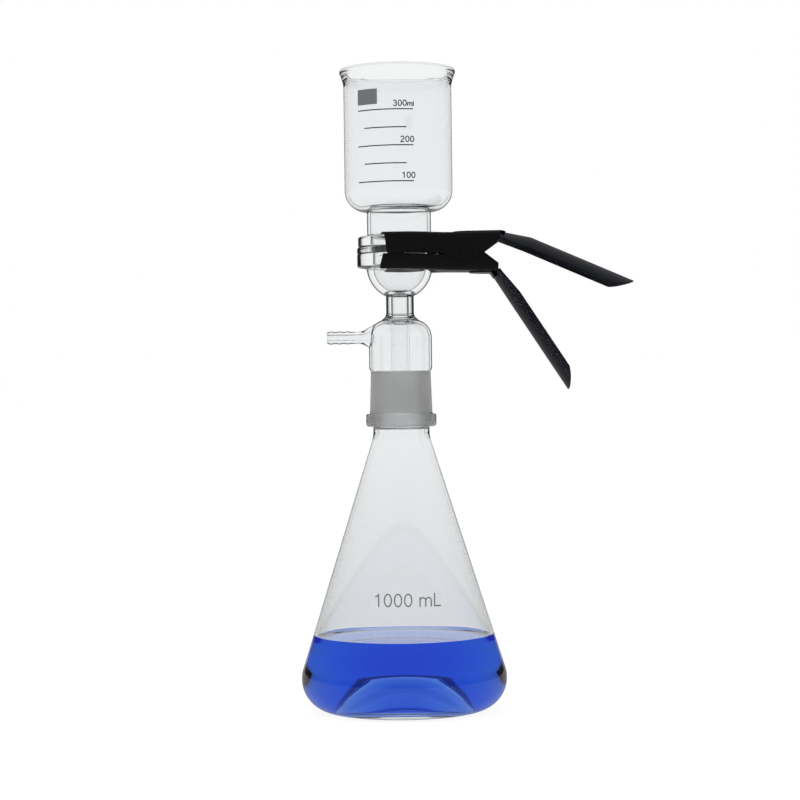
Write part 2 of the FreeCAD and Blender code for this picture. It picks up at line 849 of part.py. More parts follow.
def jaw_side_waste(side):
    """What is cut from a jaw's sides: front, meeting edge, sight notch, ear and vee."""
    front = "(-pivot_reach - %s_fork_reach)" % side
    back = "%s_rear_reach" % side
    below = "-ear_radius - 5"
    edge = "%s_edge" % side
    radius = "%s_notch" % side
    notch = "(-pivot_reach + notch_reach)"
    notch_end = "(%s + %s)" % (notch, radius)
    notch_far = "sqrt(%s^2 + %s^2)" % (notch_end, edge)
    vee_far = "sqrt(%s^2 + vee_height^2)" % back
    ear_front = "(180 deg - atan2(%s; -%s) + acos(ear_radius / %s))" % (
        edge,
        notch_end,
        notch_far,
    )
    ear_rear = "(atan2(vee_height; %s) - acos(ear_radius / %s))" % (back, vee_far)
    return [
        ("%s - 5" % front, WEB),
        ("%s + %s_lip" % (front, side), WEB),
        ("%s + %s_lip + %s_lean" % (front, side, side), edge),
        ("%s - %s" % (notch, radius), edge),
        (notch, "%s + %s" % (edge, radius), radius, -1),
        (notch_end, edge, radius, -1),
        ("ear_radius * cos%s" % ear_front, "ear_radius * sin%s" % ear_front),
        (
            "ear_radius * cos%s" % ear_rear,
            "ear_radius * sin%s" % ear_rear,
            "ear_radius",
            1,
        ),
        (back, "vee_height"),
        ("%s + 5" % back, "vee_height"),
        ("%s + 5" % back, below),
        ("%s - 5" % front, below),
    ]


def make_jaw(side, lever, fork, rear):
    """One stamped jaw, drawn about its pivot with the web on top."""
    depth = "(ear_radius + 1)"
    front = "-pivot_reach - %s_fork_reach - 5" % side
    back = "%s_rear_reach + 5" % side
    body = new_body("%s_jaw" % side)
    plan = sketch_on(body, "plan", "XY_Plane", lift="-%s" % depth)
    draw(plan, jaw_blank_plan(side, fork, rear))
    raised(body, "blank", plan, "%s + %s" % (WEB_OUTSIDE, depth))
    inner_fork = "(%s - jaw_sheet)" % fork
    inner_rear = "(%s - jaw_sheet)" % rear
    inner = jaw_half_plan(inner_fork, inner_rear, front, back, "(taper_blend + jaw_sheet)")
    hollow = draw(sketch_on(body, "hollow_plan", "XY_Plane", lift=WEB), mirrored(inner))
    cut_below(body, "hollow", hollow, "%s + %s + 1" % (WEB, depth))
    waste = draw(sketch_on(body, "side_waste", "XZ_Plane"), jaw_side_waste(side))
    cut_through(body, "side_trim", waste)
    bore = draw_circle(sketch_on(body, "bore", "XZ_Plane"), "pin_diameter / 2 + pin_play")
    cut_through(body, "pin_bore", bore)
    round_jaw(body, side, value(rear), value(inner_rear))
    body.setExpression("Placement", bound(lever))
    doc.recompute()
    return body


def round_jaw(body, side, rear, inner_rear):
    """Rounded fork tips, and the bends along the web's sides, outside and inside."""
    front = -value("pivot_reach + %s_fork_reach" % side)
    lip = front + value("%s_lip" % side)
    back = value("%s_rear_reach" % side)
    slot = value("slot_width / 2")
    slot_end = value("slot_reach - pivot_reach")

    def at_tip(middle, edge):
        upright = all(near(v.X, front) for v in edge.Vertexes)
        return upright and near(edge.Length, value("jaw_sheet"))

    def along_side(level, half_rear, start):
        def chosen(middle, edge):
            flat = all(near(v.Z, level) for v in edge.Vertexes) and near(middle.z, level)
            outside = abs(middle.y) > half_rear - 0.1 and start < middle.x < back - 0.1
            in_slot = abs(middle.y) < slot + 0.1 and middle.x < slot_end + 0.1
            return flat and outside and not in_slot

        return chosen

    rounded(body, "tips", "fork_tip_round", at_tip)
    outer_edges = along_side(value(WEB_OUTSIDE), rear, front)
    rounded(body, "outer_bend", "jaw_bend", outer_edges)
    inner_edges = along_side(value(WEB), inner_rear, lip + 1e-3)
    rounded(body, "inner_bend", "jaw_bend - jaw_sheet", inner_edges)


# ---------------------------------------------------------------- clamp handles


def handle_section(body, name, station, half_width, depth, crown):
    """An arched strip across the handle: its crown height, and its edges depth below."""
    outer = cap_radius(half_width, "%s" % depth)
    inner = "(%s - handle_sheet)" % outer
    across = "%s * (1 - handle_sheet / %s)" % (half_width, outer)
    edge = "%s - %s" % (crown, depth)
    edge_inside = "%s - handle_sheet * (1 - %s / %s)" % (edge, depth, outer)
    sketch = sketch_on(body, name, "YZ_Plane", lift=station)
    return draw(
        sketch,
        [
            (half_width, edge),
            ("-%s" % half_width, edge, outer, 1),
            ("-%s" % across, edge_inside),
            (across, edge_inside, inner, -1),
        ],
    )


def handle_frame(lever, side, reach, way):
    """Where the handle's straight part starts; way is 1 for a bend inwards."""
    angle = "%s_bend_angle" % side
    tongue_top = "(%s + handle_sheet)" % WEB_OUTSIDE
    across = "%s + %s_bend * sin(%s)" % (reach, side, angle)
    up = "%s - %d * %s_bend * (1 - cos(%s))" % (tongue_top, way, side, angle)
    return "%s * %s" % (lever, placed(across, up, ABOUT_Y, "%d * %s" % (way, angle)))


def tongue_outline(side, way):
    """Side view of the flat tongue, its bend and its neck, in the handle's own frame."""
    outer = "%s_bend" % side
    inner = "(%s - %d * handle_sheet)" % (outer, way)
    neck = "%s_neck" % side
    cosine = "cos(%s_bend_angle)" % side
    sine = "sin(%s_bend_angle)" % side
    bend_x = "(-%s * %s)" % (outer, sine)
    bend_z = "(-%d * %s * (1 - %s))" % (way, outer, cosine)
    under_x = "(%s + %d * handle_sheet * %s)" % (bend_x, way, sine)
    under_z = "(%s - handle_sheet * %s)" % (bend_z, cosine)
    back_x = "- %s_tongue * %s" % (side, cosine)
    back_z = "- %d * %s_tongue * %s" % (way, side, sine)
    return [
        ("%s + handle_sheet / 2" % neck, "0"),
        ("%s + handle_sheet / 2" % neck, "-handle_sheet"),
        ("0", "-handle_sheet"),
        (under_x, under_z, inner, way),
        ("%s %s" % (under_x, back_x), "%s %s" % (under_z, back_z)),
        ("%s %s" % (bend_x, back_x), "%s %s" % (bend_z, back_z)),
        (bend_x, bend_z),
        ("0", "0", outer, -way),
    ]


def jaw_clearance(side, reach, way):
    """Side view of the room for the jaw's rear end, in the handle's own frame."""
    angle = "%s_bend_angle" % side
    origin_x = "(%s + %s_bend * sin(%s))" % (reach, side, angle)
    origin_z = "(%s + handle_sheet - %d * %s_bend * (1 - cos(%s)))" % (
        WEB_OUTSIDE,
        way,
        side,
        angle,
    )
    back = "(%s_rear_reach + handle_gap)" % side
    above = "(%s + handle_gap)" % WEB_OUTSIDE
    top = "(%s + %s_collar)" % (above, side) if way > 0 else above
    far = "(%s - %s_tongue)" % (back, side)
    bottom = "(-%s)" % WEB_OUTSIDE
    sill = bottom if way > 0 else WEB
    beyond = "(%s + %s_collar)" % (back, side)

    def seen(x, z):
        across = "(%s - %s)" % (x, origin_x)
        up = "(%s - %s)" % (z, origin_z)
        return (
            "%s * cos(%s) - %d * %s * sin(%s)" % (across, angle, way, up, angle),
            "%d * %s * sin(%s) + %s * cos(%s)" % (way, across, angle, up, angle),
        )

    outline = [(far, top), (far, bottom)]
    if way < 0:
        outline += [(beyond, bottom), (beyond, WEB)]
    outline += [(back, sill), (back, top)]
    return [seen(x, z) for x, z in outline]


def make_handle(side, lever, reach, way):
    """A flat tongue on the web, a bend, and an arched grip with a round end."""
    neck = "%s_neck" % side
    root_end = "(%s + handle_root_length)" % neck
    root_half = "(handle_root_width / 2)"
    half = "(handle_width / 2)"
    body = new_body("%s_handle" % side)
    root = handle_section(body, "root_section", neck, root_half, "handle_root_depth", "0")
    depth = "%s_depth" % side
    rise = "%s_rise" % side
    start = handle_section(body, "grip_section", root_end, half, depth, rise)
    loft = body.newObject("PartDesign::AdditiveLoft", "root")
    loft.Profile = root
    loft.Sections = [start]
    loft.Ruled = True
    doc.recompute()
    grip = body.newObject("PartDesign::Pad", "grip")
    grip.Profile = start
    grip.setExpression("Length", bound("handle_length - %s" % root_end))
    doc.recompute()
    collar = body.newObject("PartDesign::Pad", "collar")
    collar.Profile = root
    collar.Reversed = True
    collar.setExpression("Length", bound("%s_collar" % side))
    doc.recompute()
    room = draw(sketch_on(body, "jaw_room", "XZ_Plane"), jaw_clearance(side, reach, way))
    cut_through(body, "jaw_clearance", room)
    tongue = draw(sketch_on(body, "tongue_side", "XZ_Plane"), tongue_outline(side, way))
    raised_both_ways(body, "tongue", tongue, "tongue_width")
    limit = -value("%s_tongue * cos(%s_bend_angle) / 2" % (side, side))

    def at_front(middle, edge):
        return middle.x < limit and near(edge.Length, value("handle_sheet"))

    rounded(body, "tongue_tip", "tongue_width / 2 - 2", at_front)
    centre = "handle_length - handle_width / 2"
    wide = "%s + 2" % half
    end = [
        (centre, half),
        (centre, "-%s" % half, half, -1),
        (centre, "-%s - 2" % half),
        ("handle_length + 2", "-%s - 2" % half),
        ("handle_length + 2", wide),
        (centre, wide),
    ]
    cut_through(body, "round_end", draw(sketch_on(body, "end_waste", "XY_Plane"), end))
    body.setExpression("Placement", bound(handle_frame(lever, side, reach, way)))
    doc.recompute()
    return body


# ---------------------------------------------------------------- pivot pin and spring


def make_pin():
    """A plain pin through both pairs of ears, headed at each end."""
    shank = "(pin_diameter / 2)"
    head = "(pin_head_diameter / 2)"
    face = "(%s + pin_play)" % OUTER_REAR
    end = "(%s + pin_head_thickness)" % face
    half = [("0", end), (head, end), (head, face), (shank, face)]
    other = [(x, "-%s" % y) for x, y in reversed(half)]
    body = new_body("pivot_pin")
    sketch = draw(sketch_on(body, "pin_outline", "XY_Plane"), half + other)
    pin = body.newObject("PartDesign::Revolution", "pin")
    pin.Profile = sketch
    pin.ReferenceAxis = (sketch, ["V_Axis"])
    pin.Angle = GLASS_TURN
    body.setExpression("Placement", bound(placed("pivot_reach", PIVOT_UP, ABOUT_Y, "0")))
    doc.recompute()
    return body


def make_spring():
    """A torsion spring round the pin; each leg leaves the coil along its own tangent
    and ends against the inside of a web, behind the pivot."""
    wire = value("spring_wire")
    radius = value("spring_radius")
    pitch = value("spring_wire + spring_turn_gap")
    lean = math.radians(value("spring_leg_angle"))
    climb = math.atan2(pitch, 2 * math.pi * radius)
    reach = radius + wire / 2

    def leg_length(side):
        tilt = math.tan(math.radians(value("%s_tilt" % side)))
        web = value("%s / cos(%s_tilt) - spring_end_play" % (WEB, side))
        gained = web - reach * (math.cos(lean) + tilt * math.sin(lean))
        return gained / (math.sin(lean) - tilt * math.cos(lean)) / math.cos(climb)

    # The wire comes forward along the lower leg, turns from Z towards X as it climbs
    # along +Y, and leaves backwards along the upper leg
    first = -math.pi / 2 - lean
    sweep = 2 * math.pi * int(value("spring_turns")) - math.pi - 2 * lean
    width = pitch * sweep / (2 * math.pi)

    def on_coil(turn):
        angle = first - turn
        along = pitch * turn / (2 * math.pi) - width / 2
        return FreeCAD.Vector(radius * math.cos(angle), along, radius * math.sin(angle))

    def heading(turn):
        angle = first - turn
        around = FreeCAD.Vector(math.sin(angle), 0, -math.cos(angle))
        return around * math.cos(climb) + FreeCAD.Vector(0, math.sin(climb), 0)

    centre = FreeCAD.Vector(0, 0, 0)
    coil = Part.makeHelix(pitch, width, radius)
    coil.rotate(centre, FreeCAD.Vector(1, 0, 0), -90)
    coil.rotate(centre, FreeCAD.Vector(0, 1, 0), -math.degrees(first))
    coil.translate(FreeCAD.Vector(0, -width / 2, 0))
    lower_end = on_coil(0) - heading(0) * leg_length("lower")
    upper_end = on_coil(sweep) + heading(sweep) * leg_length("upper")
    lower_leg = Part.makeLine(lower_end, on_coil(0))
    upper_leg = Part.makeLine(on_coil(sweep), upper_end)
    path = Part.Wire([lower_leg] + coil.Edges + [upper_leg])
    ring = Part.Wire([Part.makeCircle(wire / 2, lower_end, heading(0))])
    feature = doc.addObject("Part::Feature", "torsion_spring")
    feature.Label = "torsion_spring"
    feature.Shape = path.makePipeShell([ring], True, True)
    feature.setExpression("Placement", bound(placed("pivot_reach", PIVOT_UP, ABOUT_Y, "0")))
    doc.recompute()
    return feature


# ---------------------------------------------------------------- the whole unit


def make_all():
    made = [
        make_flask(),
        make_filtrate(),
        make_head(),
        make_sintered_disc(),
        make_membrane(),
        make_cup(),
        make_scale(),
        make_jaw("upper", UPPER_LEVER, OUTER_FORK, OUTER_REAR),
        make_jaw("lower", LOWER_LEVER, INNER_FORK, INNER_REAR),
        make_handle("upper", UPPER_LEVER, "upper_rear_reach", 1),
        make_handle("lower", LOWER_LEVER, "lower_bend_reach", -1),
        make_pin(),
        make_spring(),
    ]
    doc.recompute()
    return made


def check(nodes):
    """Stops on any failed object and on any node that isn't whole solids."""
    for item in doc.Objects:
        if "Invalid" in item.State or "Error" in item.State:
            raise RuntimeError("%s failed: %s" % (item.Label, item.State))
    for node in nodes:
        shape = node.Shape
        if shape.isNull() or not shape.isValid() or not shape.Solids:
            raise RuntimeError("%s has no valid solid" % node.Label)


def write(nodes):
    os.makedirs("parts", exist_ok=True)
    for node in nodes:
        node.Shape.exportStep("parts/%s.step" % node.Label)
        box = node.Shape.BoundBox
        print(
            "%-16s %2d solid %10.1f mm3  X %.1f..%.1f  Y %.1f..%.1f  Z %.1f..%.1f"
            % (
                node.Label,
                len(node.Shape.Solids),
                node.Shape.Volume,
                box.XMin,
                box.XMax,
                box.YMin,
                box.YMax,
                box.ZMin,
                box.ZMax,
            )
        )


nodes = make_all()
check(nodes)
write(nodes)
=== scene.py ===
"""The looks of a vacuum filtration unit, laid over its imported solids.

Metres, in the solids' own frame: the origin is the centre of the flask's base, +Z is up
and +X points along the clamp towards its handles.
"""

import math

import bmesh
import bpy
import numpy as np
from mathutils import Matrix, Vector


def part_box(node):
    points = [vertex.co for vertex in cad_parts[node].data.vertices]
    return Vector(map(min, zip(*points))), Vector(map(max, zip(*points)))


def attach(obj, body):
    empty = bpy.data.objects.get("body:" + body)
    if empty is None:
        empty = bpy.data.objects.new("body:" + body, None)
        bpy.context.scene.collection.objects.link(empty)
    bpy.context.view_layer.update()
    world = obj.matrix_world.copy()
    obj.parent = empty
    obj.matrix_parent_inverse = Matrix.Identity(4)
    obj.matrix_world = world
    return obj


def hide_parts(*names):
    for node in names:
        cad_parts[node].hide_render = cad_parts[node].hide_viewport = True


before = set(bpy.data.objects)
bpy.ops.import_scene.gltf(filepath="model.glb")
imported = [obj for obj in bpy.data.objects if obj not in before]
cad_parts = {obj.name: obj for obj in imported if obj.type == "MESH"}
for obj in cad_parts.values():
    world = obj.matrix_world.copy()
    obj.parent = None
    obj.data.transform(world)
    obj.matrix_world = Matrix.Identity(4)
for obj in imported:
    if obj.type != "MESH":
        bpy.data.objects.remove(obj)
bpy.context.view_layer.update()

MM = 0.001
UNIT = "unit"
LEVER = "upper_lever"

# ------------------------------------------------------------------ radii and levels, mm

# Flask: outside, pushed-up base, cavity and ground joint.
FLASK_TOP = 223.0
FLASK_RADIUS = 67.5
CONE_ANGLE = 17.5
CONE = math.radians(CONE_ANGLE)
CORNER = 21.4
CORNER_AT = FLASK_RADIUS - CORNER
WALL = 2.2
FOOT_AT = 42.0
FOOT_ROUND = 5.0
PUNT = 10.5
CAVITY_ROUND = 15.0
CAVITY_FOOT = 7.0
CAVITY_CROWN = 18.6
CAVITY_UP = CAVITY_FOOT + CAVITY_ROUND
CAVITY_AT = CORNER_AT + (
    CORNER - WALL - CAVITY_ROUND + (CORNER - CAVITY_UP) * math.sin(CONE)
) / math.cos(CONE)
NECK = 18.5
NECK_BORE = 15.2
JOINT_FOOT = 188.0
JOINT_WIDE = 20.0
JOINT_NARROW = 18.25
JOINT_GAP = 0.02
GROUND_FROM = 17.6

# The liquid's level, and how far it climbs the glass.
LIQUID_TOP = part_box("filtrate")[1].z / MM
SURFACE = LIQUID_TOP - 0.35
MENISCUS = 1.3
INTO_WALL = 0.15

# Head: socket, hood, side arm, stem, bowl and flange.
HEAD_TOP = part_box("sintered_disc")[1].z / MM
SOCKET_END = 186.7
SOCKET_COLLAR = 23.1
SOCKET_COLLAR_TALL = 8.2
SOCKET_LOW = 20.6
SOCKET_HIGH = 19.67
SOCKET_CUT = 180.0
HOOD = 20.7
HOOD_WALL = 1.55
HOOD_TOP = 257.0
SHOULDER = 12.0
SHOULDER_AT = 8.7
SHOULDER_UP = 245.0
STEM = 9.1
STEM_BORE = 5.8
STEM_FOOT_UP = SHOULDER_UP + math.sqrt(SHOULDER**2 - (12.5 - SHOULDER_AT) ** 2)
DRIP_TUBE = 6.1
DRIP_BORE = 4.9
DRIP_TIP = 197.0
DRIP_CUT = 195.0
DRIP_REACH = 8.0
BOWL = 21.6
BOWL_INSIDE = 17.5
BOWL_CENTRE = 291.9
HEAD_FLANGE = 27.75
HEAD_FLANGE_TALL = 12.9
HEAD_GROOVE = 0.8
DISC_SEAT = 18.5
DISC_TALL = 4.6
ARM_LEVEL = 22.3
ARM_REACH = 48.2
ARM_START = -29.0
ARM = 3.95
ARM_BORE = 1.9
ARM_RIDGE = 0.35
ARM_RIDGE_PITCH = 5.4

# Cup: flange, neck, wall and beaded rim.
CUP_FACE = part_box("membrane_filter")[1].z / MM
CUP_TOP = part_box("filter_cup")[1].z / MM
CUP_FLANGE = 27.0
CUP_FLANGE_TOP = CUP_FACE + 6.6
CUP_FLOOR = CUP_FLANGE_TOP + 16.7
CUP_NECK = 21.0
CUP_NECK_BORE = 19.0
CUP_RADIUS = 35.5
CUP_WALL = 2.0
CUP_CORNER = 14.0
CUP_RIM = 38.1
BEAD = 2.0
FLARE = 12.0

# Print on the cup: angles in degrees from the middle, levels from the cup's floor.
LONG_LINE = (46.1, 62.4)
SHORT_LINE = (37.5, 46.4)
LINE_FOOT = 16.9
LINE_PITCH = 11.57
LINE_HALF = 0.35
PATCH_SPAN = 24.3
PATCH_GAP = 3.6
PATCH_TALL = 10.0
COAT = 0.12

# How strongly glass and liquid bend light.
GLASS_IOR = 1.473
LIQUID_IOR = 1.333


# ------------------------------------------------------------------ surfaces from arrays


def corner_arcs(points, step=0.18):
    """Profile points in order: each (r, z, radius) corner becomes an arc of that radius
    that touches the two straight lines meeting there; a radius of 0 leaves it sharp."""
    out = []
    count = len(points)
    for i, point in enumerate(points):
        here = np.array(point[:2], float)
        radius = point[2] if len(point) > 2 else 0.0
        if radius <= 0 or i in (0, count - 1):
            out.append(here[None])
            continue
        before = np.array(points[i - 1][:2], float) - here
        after = np.array(points[i + 1][:2], float) - here
        room = 0.49 * min(np.linalg.norm(before), np.linalg.norm(after))
        before /= np.linalg.norm(before)
        after /= np.linalg.norm(after)
        half = math.acos(max(-1.0, min(1.0, float(before @ after)))) / 2
        if half > math.pi / 2 - 1e-3:
            out.append(here[None])
            continue
        tangent = min(radius / math.tan(half), room)
        radius = tangent * math.tan(half)
        middle = (before + after) / np.linalg.norm(before + after)
        centre = here + middle * radius / math.sin(half)
        start = here + before * tangent - centre
        end = here + after * tangent - centre
        a = math.atan2(start[1], start[0])
        turn = math.atan2(end[1], end[0]) - a
        turn = (turn + math.pi) % (2 * math.pi) - math.pi
        n = max(3, int(abs(turn) * radius / step) + 2)
        angles = a + turn * np.linspace(0, 1, n)
        out.append(centre + radius * np.c_[np.cos(angles), np.sin(angles)])
    return np.vstack(out)


def arc(centre, radius, start, end, step=0.35):
    """Points on a circle about (r, z) from one angle to another, in degrees."""
    span = abs(math.radians(end - start)) * radius
    angles = np.radians(np.linspace(start, end, max(4, int(span / step) + 2)))
    return np.c_[centre[0] + radius * np.cos(angles), centre[1] + radius * np.sin(angles)]


def refined(path, step):
    """The same profile with its long straight runs divided evenly, none over step."""
    keep = np.r_[True, np.linalg.norm(np.diff(path, axis=0), axis=1) > 1e-6]
    path = path[keep]
    lengths = np.linalg.norm(np.diff(path, axis=0), axis=1)
    parts = np.maximum(1, np.ceil(lengths / step).astype(int))
    rows = np.repeat(np.arange(len(parts)), parts)
    inner = np.arange(parts.sum()) - np.repeat(np.cumsum(parts) - parts, parts)
    share = (inner / parts[rows])[:, None]
    return np.vstack([path[rows] * (1 - share) + path[rows + 1] * share, path[-1:]])


def mesh_piece(name, points, faces, smooth=True):
    """One object at the origin from points in mm and faces, with its place in its mesh."""
    mesh = bpy.data.meshes.new(name)
    mesh.from_pydata((np.asarray(points, float) * MM).tolist(), [], faces)
    mesh.update()
    mesh.polygons.foreach_set("use_smooth", np.full(len(mesh.polygons), smooth))
    piece = bpy.data.objects.new(name, mesh)
    bpy.context.scene.collection.objects.link(piece)
    return piece


def lathe(name, profile, segments=192, axis="Z", level=0.0):
    """A closed solid of revolution: the profile (distance, height) runs once round the
    solid's section, and goes round the axis; points on the axis become one pole each."""
    profile = np.asarray(profile, float)
    turn = np.linspace(0, 2 * math.pi, segments, endpoint=False)
    far, height = profile[:, :1], profile[:, 1:]
    points = np.stack(
        [far * np.cos(turn), far * np.sin(turn), height + 0 * turn], axis=-1
    ).reshape(-1, 3)
    index = np.arange(len(points)).reshape(len(profile), segments)
    on_axis = profile[:, 0] < 1e-6
    index[on_axis] = index[on_axis, :1]
    kept, place = np.unique(index, return_inverse=True)
    points, index = points[kept], place.reshape(index.shape)
    if not (on_axis[0] and on_axis[-1]):
        index = np.vstack([index, index[:1]])
    low, high = index[:-1], index[1:]
    corners = [low, np.roll(low, -1, 1), np.roll(high, -1, 1), high]
    quads = np.stack(corners, axis=-1).reshape(-1, 4)
    from_pole = quads[:, 0] == quads[:, 1]
    to_pole = quads[:, 2] == quads[:, 3]
    faces = quads[~from_pole & ~to_pole].tolist()
    faces += quads[from_pole & ~to_pole][:, [0, 2, 3]].tolist()
    faces += quads[to_pole & ~from_pole][:, :3].tolist()
    if axis == "X":
        points = np.c_[points[:, 2], points[:, 1], points[:, 0] + level]
    piece = mesh_piece(name, points, faces)
    facing_out(piece)
    return piece


def facing_out(piece):
    """Turns every face of a closed piece outwards."""
    work = bmesh.new()
    work.from_mesh(piece.data)
    bmesh.ops.remove_doubles(work, verts=work.verts, dist=1e-8)
    bmesh.ops.recalc_face_normals(work, faces=work.faces)
    if work.calc_volume(signed=True) < 0:
        bmesh.ops.reverse_faces(work, faces=work.faces)
    work.to_mesh(piece.data)
    work.free()


def carved(name, base, joined=(), cut=()):
    """The base with other solids joined on and then cut away, as one finished mesh."""
    for operation, tools in (("UNION", joined), ("DIFFERENCE", cut)):
        for tool in tools:
            change = base.modifiers.new(tool.name, "BOOLEAN")
            change.operation = operation
            change.solver = "EXACT"
            change.object = tool
    bpy.context.view_layer.update()
    shape = base.evaluated_get(bpy.context.evaluated_depsgraph_get())
    mesh = bpy.data.meshes.new_from_object(shape)
    for gone in (base, *joined, *cut):
        bpy.data.objects.remove(gone)
    mesh.name = name
    piece = bpy.data.objects.new(name, mesh)
    bpy.context.scene.collection.objects.link(piece)
    return piece


def shade(piece, angle=32.0):
    """Smooth shading, with edges sharper than the angle left crisp."""
    mesh = piece.data
    mesh.polygons.foreach_set("use_smooth", np.ones(len(mesh.polygons), bool))
    mesh.set_sharp_from_angle(angle=math.radians(angle))


# ------------------------------------------------------------------ shader expressions


class Wire:
    """A shader socket that adds Math nodes when it is used in an expression."""

    def __init__(self, tree, socket):
        self.tree = tree
        self.socket = socket

    def _math(self, operation, *values, clamp=False):
        node = self.tree.nodes.new("ShaderNodeMath")
        node.operation = operation
        node.use_clamp = clamp
        for i, given in enumerate(values):
            connect(self.tree, given, node.inputs[i])
        return Wire(self.tree, node.outputs[0])

    def __add__(self, other):
        return self._math("ADD", self, other)

    def __sub__(self, other):
        return self._math("SUBTRACT", self, other)

    def __mul__(self, other):
        return self._math("MULTIPLY", self, other)

    def __truediv__(self, other):
        return self._math("DIVIDE", self, other)

    def __pow__(self, other):
        return self._math("POWER", self, other)

    def __radd__(self, other):
        return self._math("ADD", other, self)

    def __rsub__(self, other):
        return self._math("SUBTRACT", other, self)

    def __rmul__(self, other):
        return self._math("MULTIPLY", other, self)

    def above(self, edge, soft):
        """0 below the edge, 1 above it, turning smoothly over the soft width."""
        share = self._math("MULTIPLY", self - (edge - soft / 2), 1.0 / soft, clamp=True)
        return share * share * (3.0 - 2.0 * share)

    def clamped(self):
        return self._math("ADD", self, 0.0, clamp=True)


def connect(tree, given, socket):
    if isinstance(given, Wire):
        tree.links.new(given.socket, socket)
    elif isinstance(given, bpy.types.NodeSocket):
        tree.links.new(given, socket)
    else:
        socket.default_value = given


class Recipe:
    """One node material, or a world's nodes where a world is given; node() adds any node
    from its settings and its socket values."""

    def __init__(self, name, world=None):
        self.material = world or bpy.data.materials.new(name)
        self.material.use_nodes = True
        self.tree = self.material.node_tree
        self.tree.nodes.clear()
        kind = "ShaderNodeOutputWorld" if world else "ShaderNodeOutputMaterial"
        self.out = self.tree.nodes.new(kind)

    def node(self, kind, settings=None, values=None, output=0):
        made = self.tree.nodes.new(kind)
        for key, setting in (settings or {}).items():
            setattr(made, key, setting)
        for key, given in (values or {}).items():
            connect(self.tree, given, made.inputs[key])
        return Wire(self.tree, made.outputs[output])

    def place(self, scale=(1, 1, 1)):
        """Object coordinates in millimetres, stretched by a scale on each axis."""
        at = self.node("ShaderNodeTexCoord", output="Object")
        scaled = {"Vector": at, "Scale": tuple(s / MM for s in scale)}
        return self.node("ShaderNodeMapping", values=scaled)

    def split(self, vector):
        node = self.tree.nodes.new("ShaderNodeSeparateXYZ")
        connect(self.tree, vector, node.inputs[0])
        return [Wire(self.tree, out) for out in node.outputs]

    def noise(self, vector, scale, detail=3.0, roughness=0.5):
        values = {"Vector": vector, "Scale": scale, "Detail": detail, "Roughness": roughness}
        return self.node("ShaderNodeTexNoise", values=values, output="Fac")

    def mix(self, share, first, second):
        """A colour between two, by a share from 0 to 1."""
        made = self.tree.nodes.new("ShaderNodeMix")
        made.data_type = "RGBA"
        for key, given in ((0, share), (6, first), (7, second)):
            connect(self.tree, given, made.inputs[key])
        return Wire(self.tree, made.outputs[2])

    def blend(self, share, first, second):
        """A surface between two, by a share from 0 to 1."""
        return self.node("ShaderNodeMixShader", values={0: share, 1: first, 2: second})

    def bump(self, height, distance, strength=1.0):
        values = {"Height": height, "Distance": distance, "Strength": strength}
        return self.node("ShaderNodeBump", values=values, output="Normal")

    def surface(self, **values):
        """The Principled shader with its sockets by name, spaces as underscores."""
        named = {key.replace("_", " "): given for key, given in values.items()}
        return self.node("ShaderNodeBsdfPrincipled", values=named)

    def finish(self, shader, volume=None):
        connect(self.tree, shader, self.out.inputs["Surface"])
        if volume is not None:
            connect(self.tree, volume, self.out.inputs["Volume"])
        return self.material


def grey(level):
    return (level, level, level, 1.0)


def cool(level):
    """A grey with a trace of blue."""
    return (level, level * 1.04, level * 1.14, 1.0)


# ------------------------------------------------------------------ finishes


def clear_glass(name, tones, lines, ground=None, arm=None):
    """Blown borosilicate: a grey body tone that changes between two heights, slow waves in
    the surface, and a ground band where one is given. Where a ray only grazes the glass
    its colour is painted nearly black, painted shade that draws the dark lines along the
    glass's edges: each (height, gloss, soft) gives, from a height up, the share of light
    turned back at which the painted dark edge is half there; a thin arm reaching out past
    a distance has painted dark edges all along."""
    recipe = Recipe(name)
    at = recipe.place()
    across, along, up = recipe.split(at)
    waves = recipe.noise(recipe.place((1, 1, 0.35)), 0.035, 2.0)
    (low, low_tone), (high, high_tone) = tones
    share = (up - low) * (1.0 / (high - low))
    share = (share.clamped() + (waves - 0.5) * 0.12).clamped()
    tint = recipe.mix(share, glass_tone(low_tone), glass_tone(high_tone))
    radius = (across * across + along * along) ** 0.5
    _, gloss, soft = last = lines[0]
    for line in lines[1:]:
        turn = up.above(line[0], 1.0)
        gloss = gloss + turn * (line[1] - last[1])
        soft = soft + turn * (line[2] - last[2])
        last = line
    if arm:
        drip = (1.0 - radius.above(DRIP_REACH, 0.5)) * (1.0 - up.above(STEM_FOOT_UP, 1.0))
        tint = recipe.mix(drip, tint, grey(0.995))
        # Painted shade along the side arm: a low threshold paints its edges dark all along.
        tube = 1.0 - across.above(arm, 4.0)
        gloss = gloss * (1.0 - tube) + tube * 0.09
        soft = soft * (1.0 - tube) + tube * 0.08
    # Painted shade: where the Fresnel share passes the threshold, the glass's colour turns
    # nearly black, drawing dark edge lines.
    graze = recipe.node("ShaderNodeFresnel", values={"IOR": GLASS_IOR})
    dark = ((graze - gloss) / soft + 0.5).clamped()
    tint = recipe.mix(dark * dark * (3.0 - 2.0 * dark), tint, grey(0.02))
    rough = 0.0
    height = waves * 0.008
    if ground:
        foot, top, inner, outer = ground
        band = up.above(foot, 0.5) * (1.0 - up.above(top, 0.5))
        band = band * radius.above(inner, 0.3) * (1.0 - radius.above(outer, 0.3))
        grain = recipe.noise(at, 2.2, 4.0, 0.7)
        cloud = recipe.noise(recipe.place((1, 1, 0.5)), 0.09, 2.0)
        frosted = recipe.mix(cloud, grey(0.78), grey(0.90))
        tint = recipe.mix(band, tint, frosted)
        rough = band * (0.42 + grain * 0.2)
        height = height + band * grain * 0.03
    shader = recipe.surface(
        Base_Color=tint,
        Roughness=rough,
        IOR=GLASS_IOR,
        Transmission_Weight=1.0,
        Normal=recipe.bump(height, 0.001, 0.35),
    )
    return recipe.finish(shader)


def glass_tone(level):
    """Colourless glass with a faint cool cast."""
    return (level * 0.985, level, level * 1.005, 1.0)


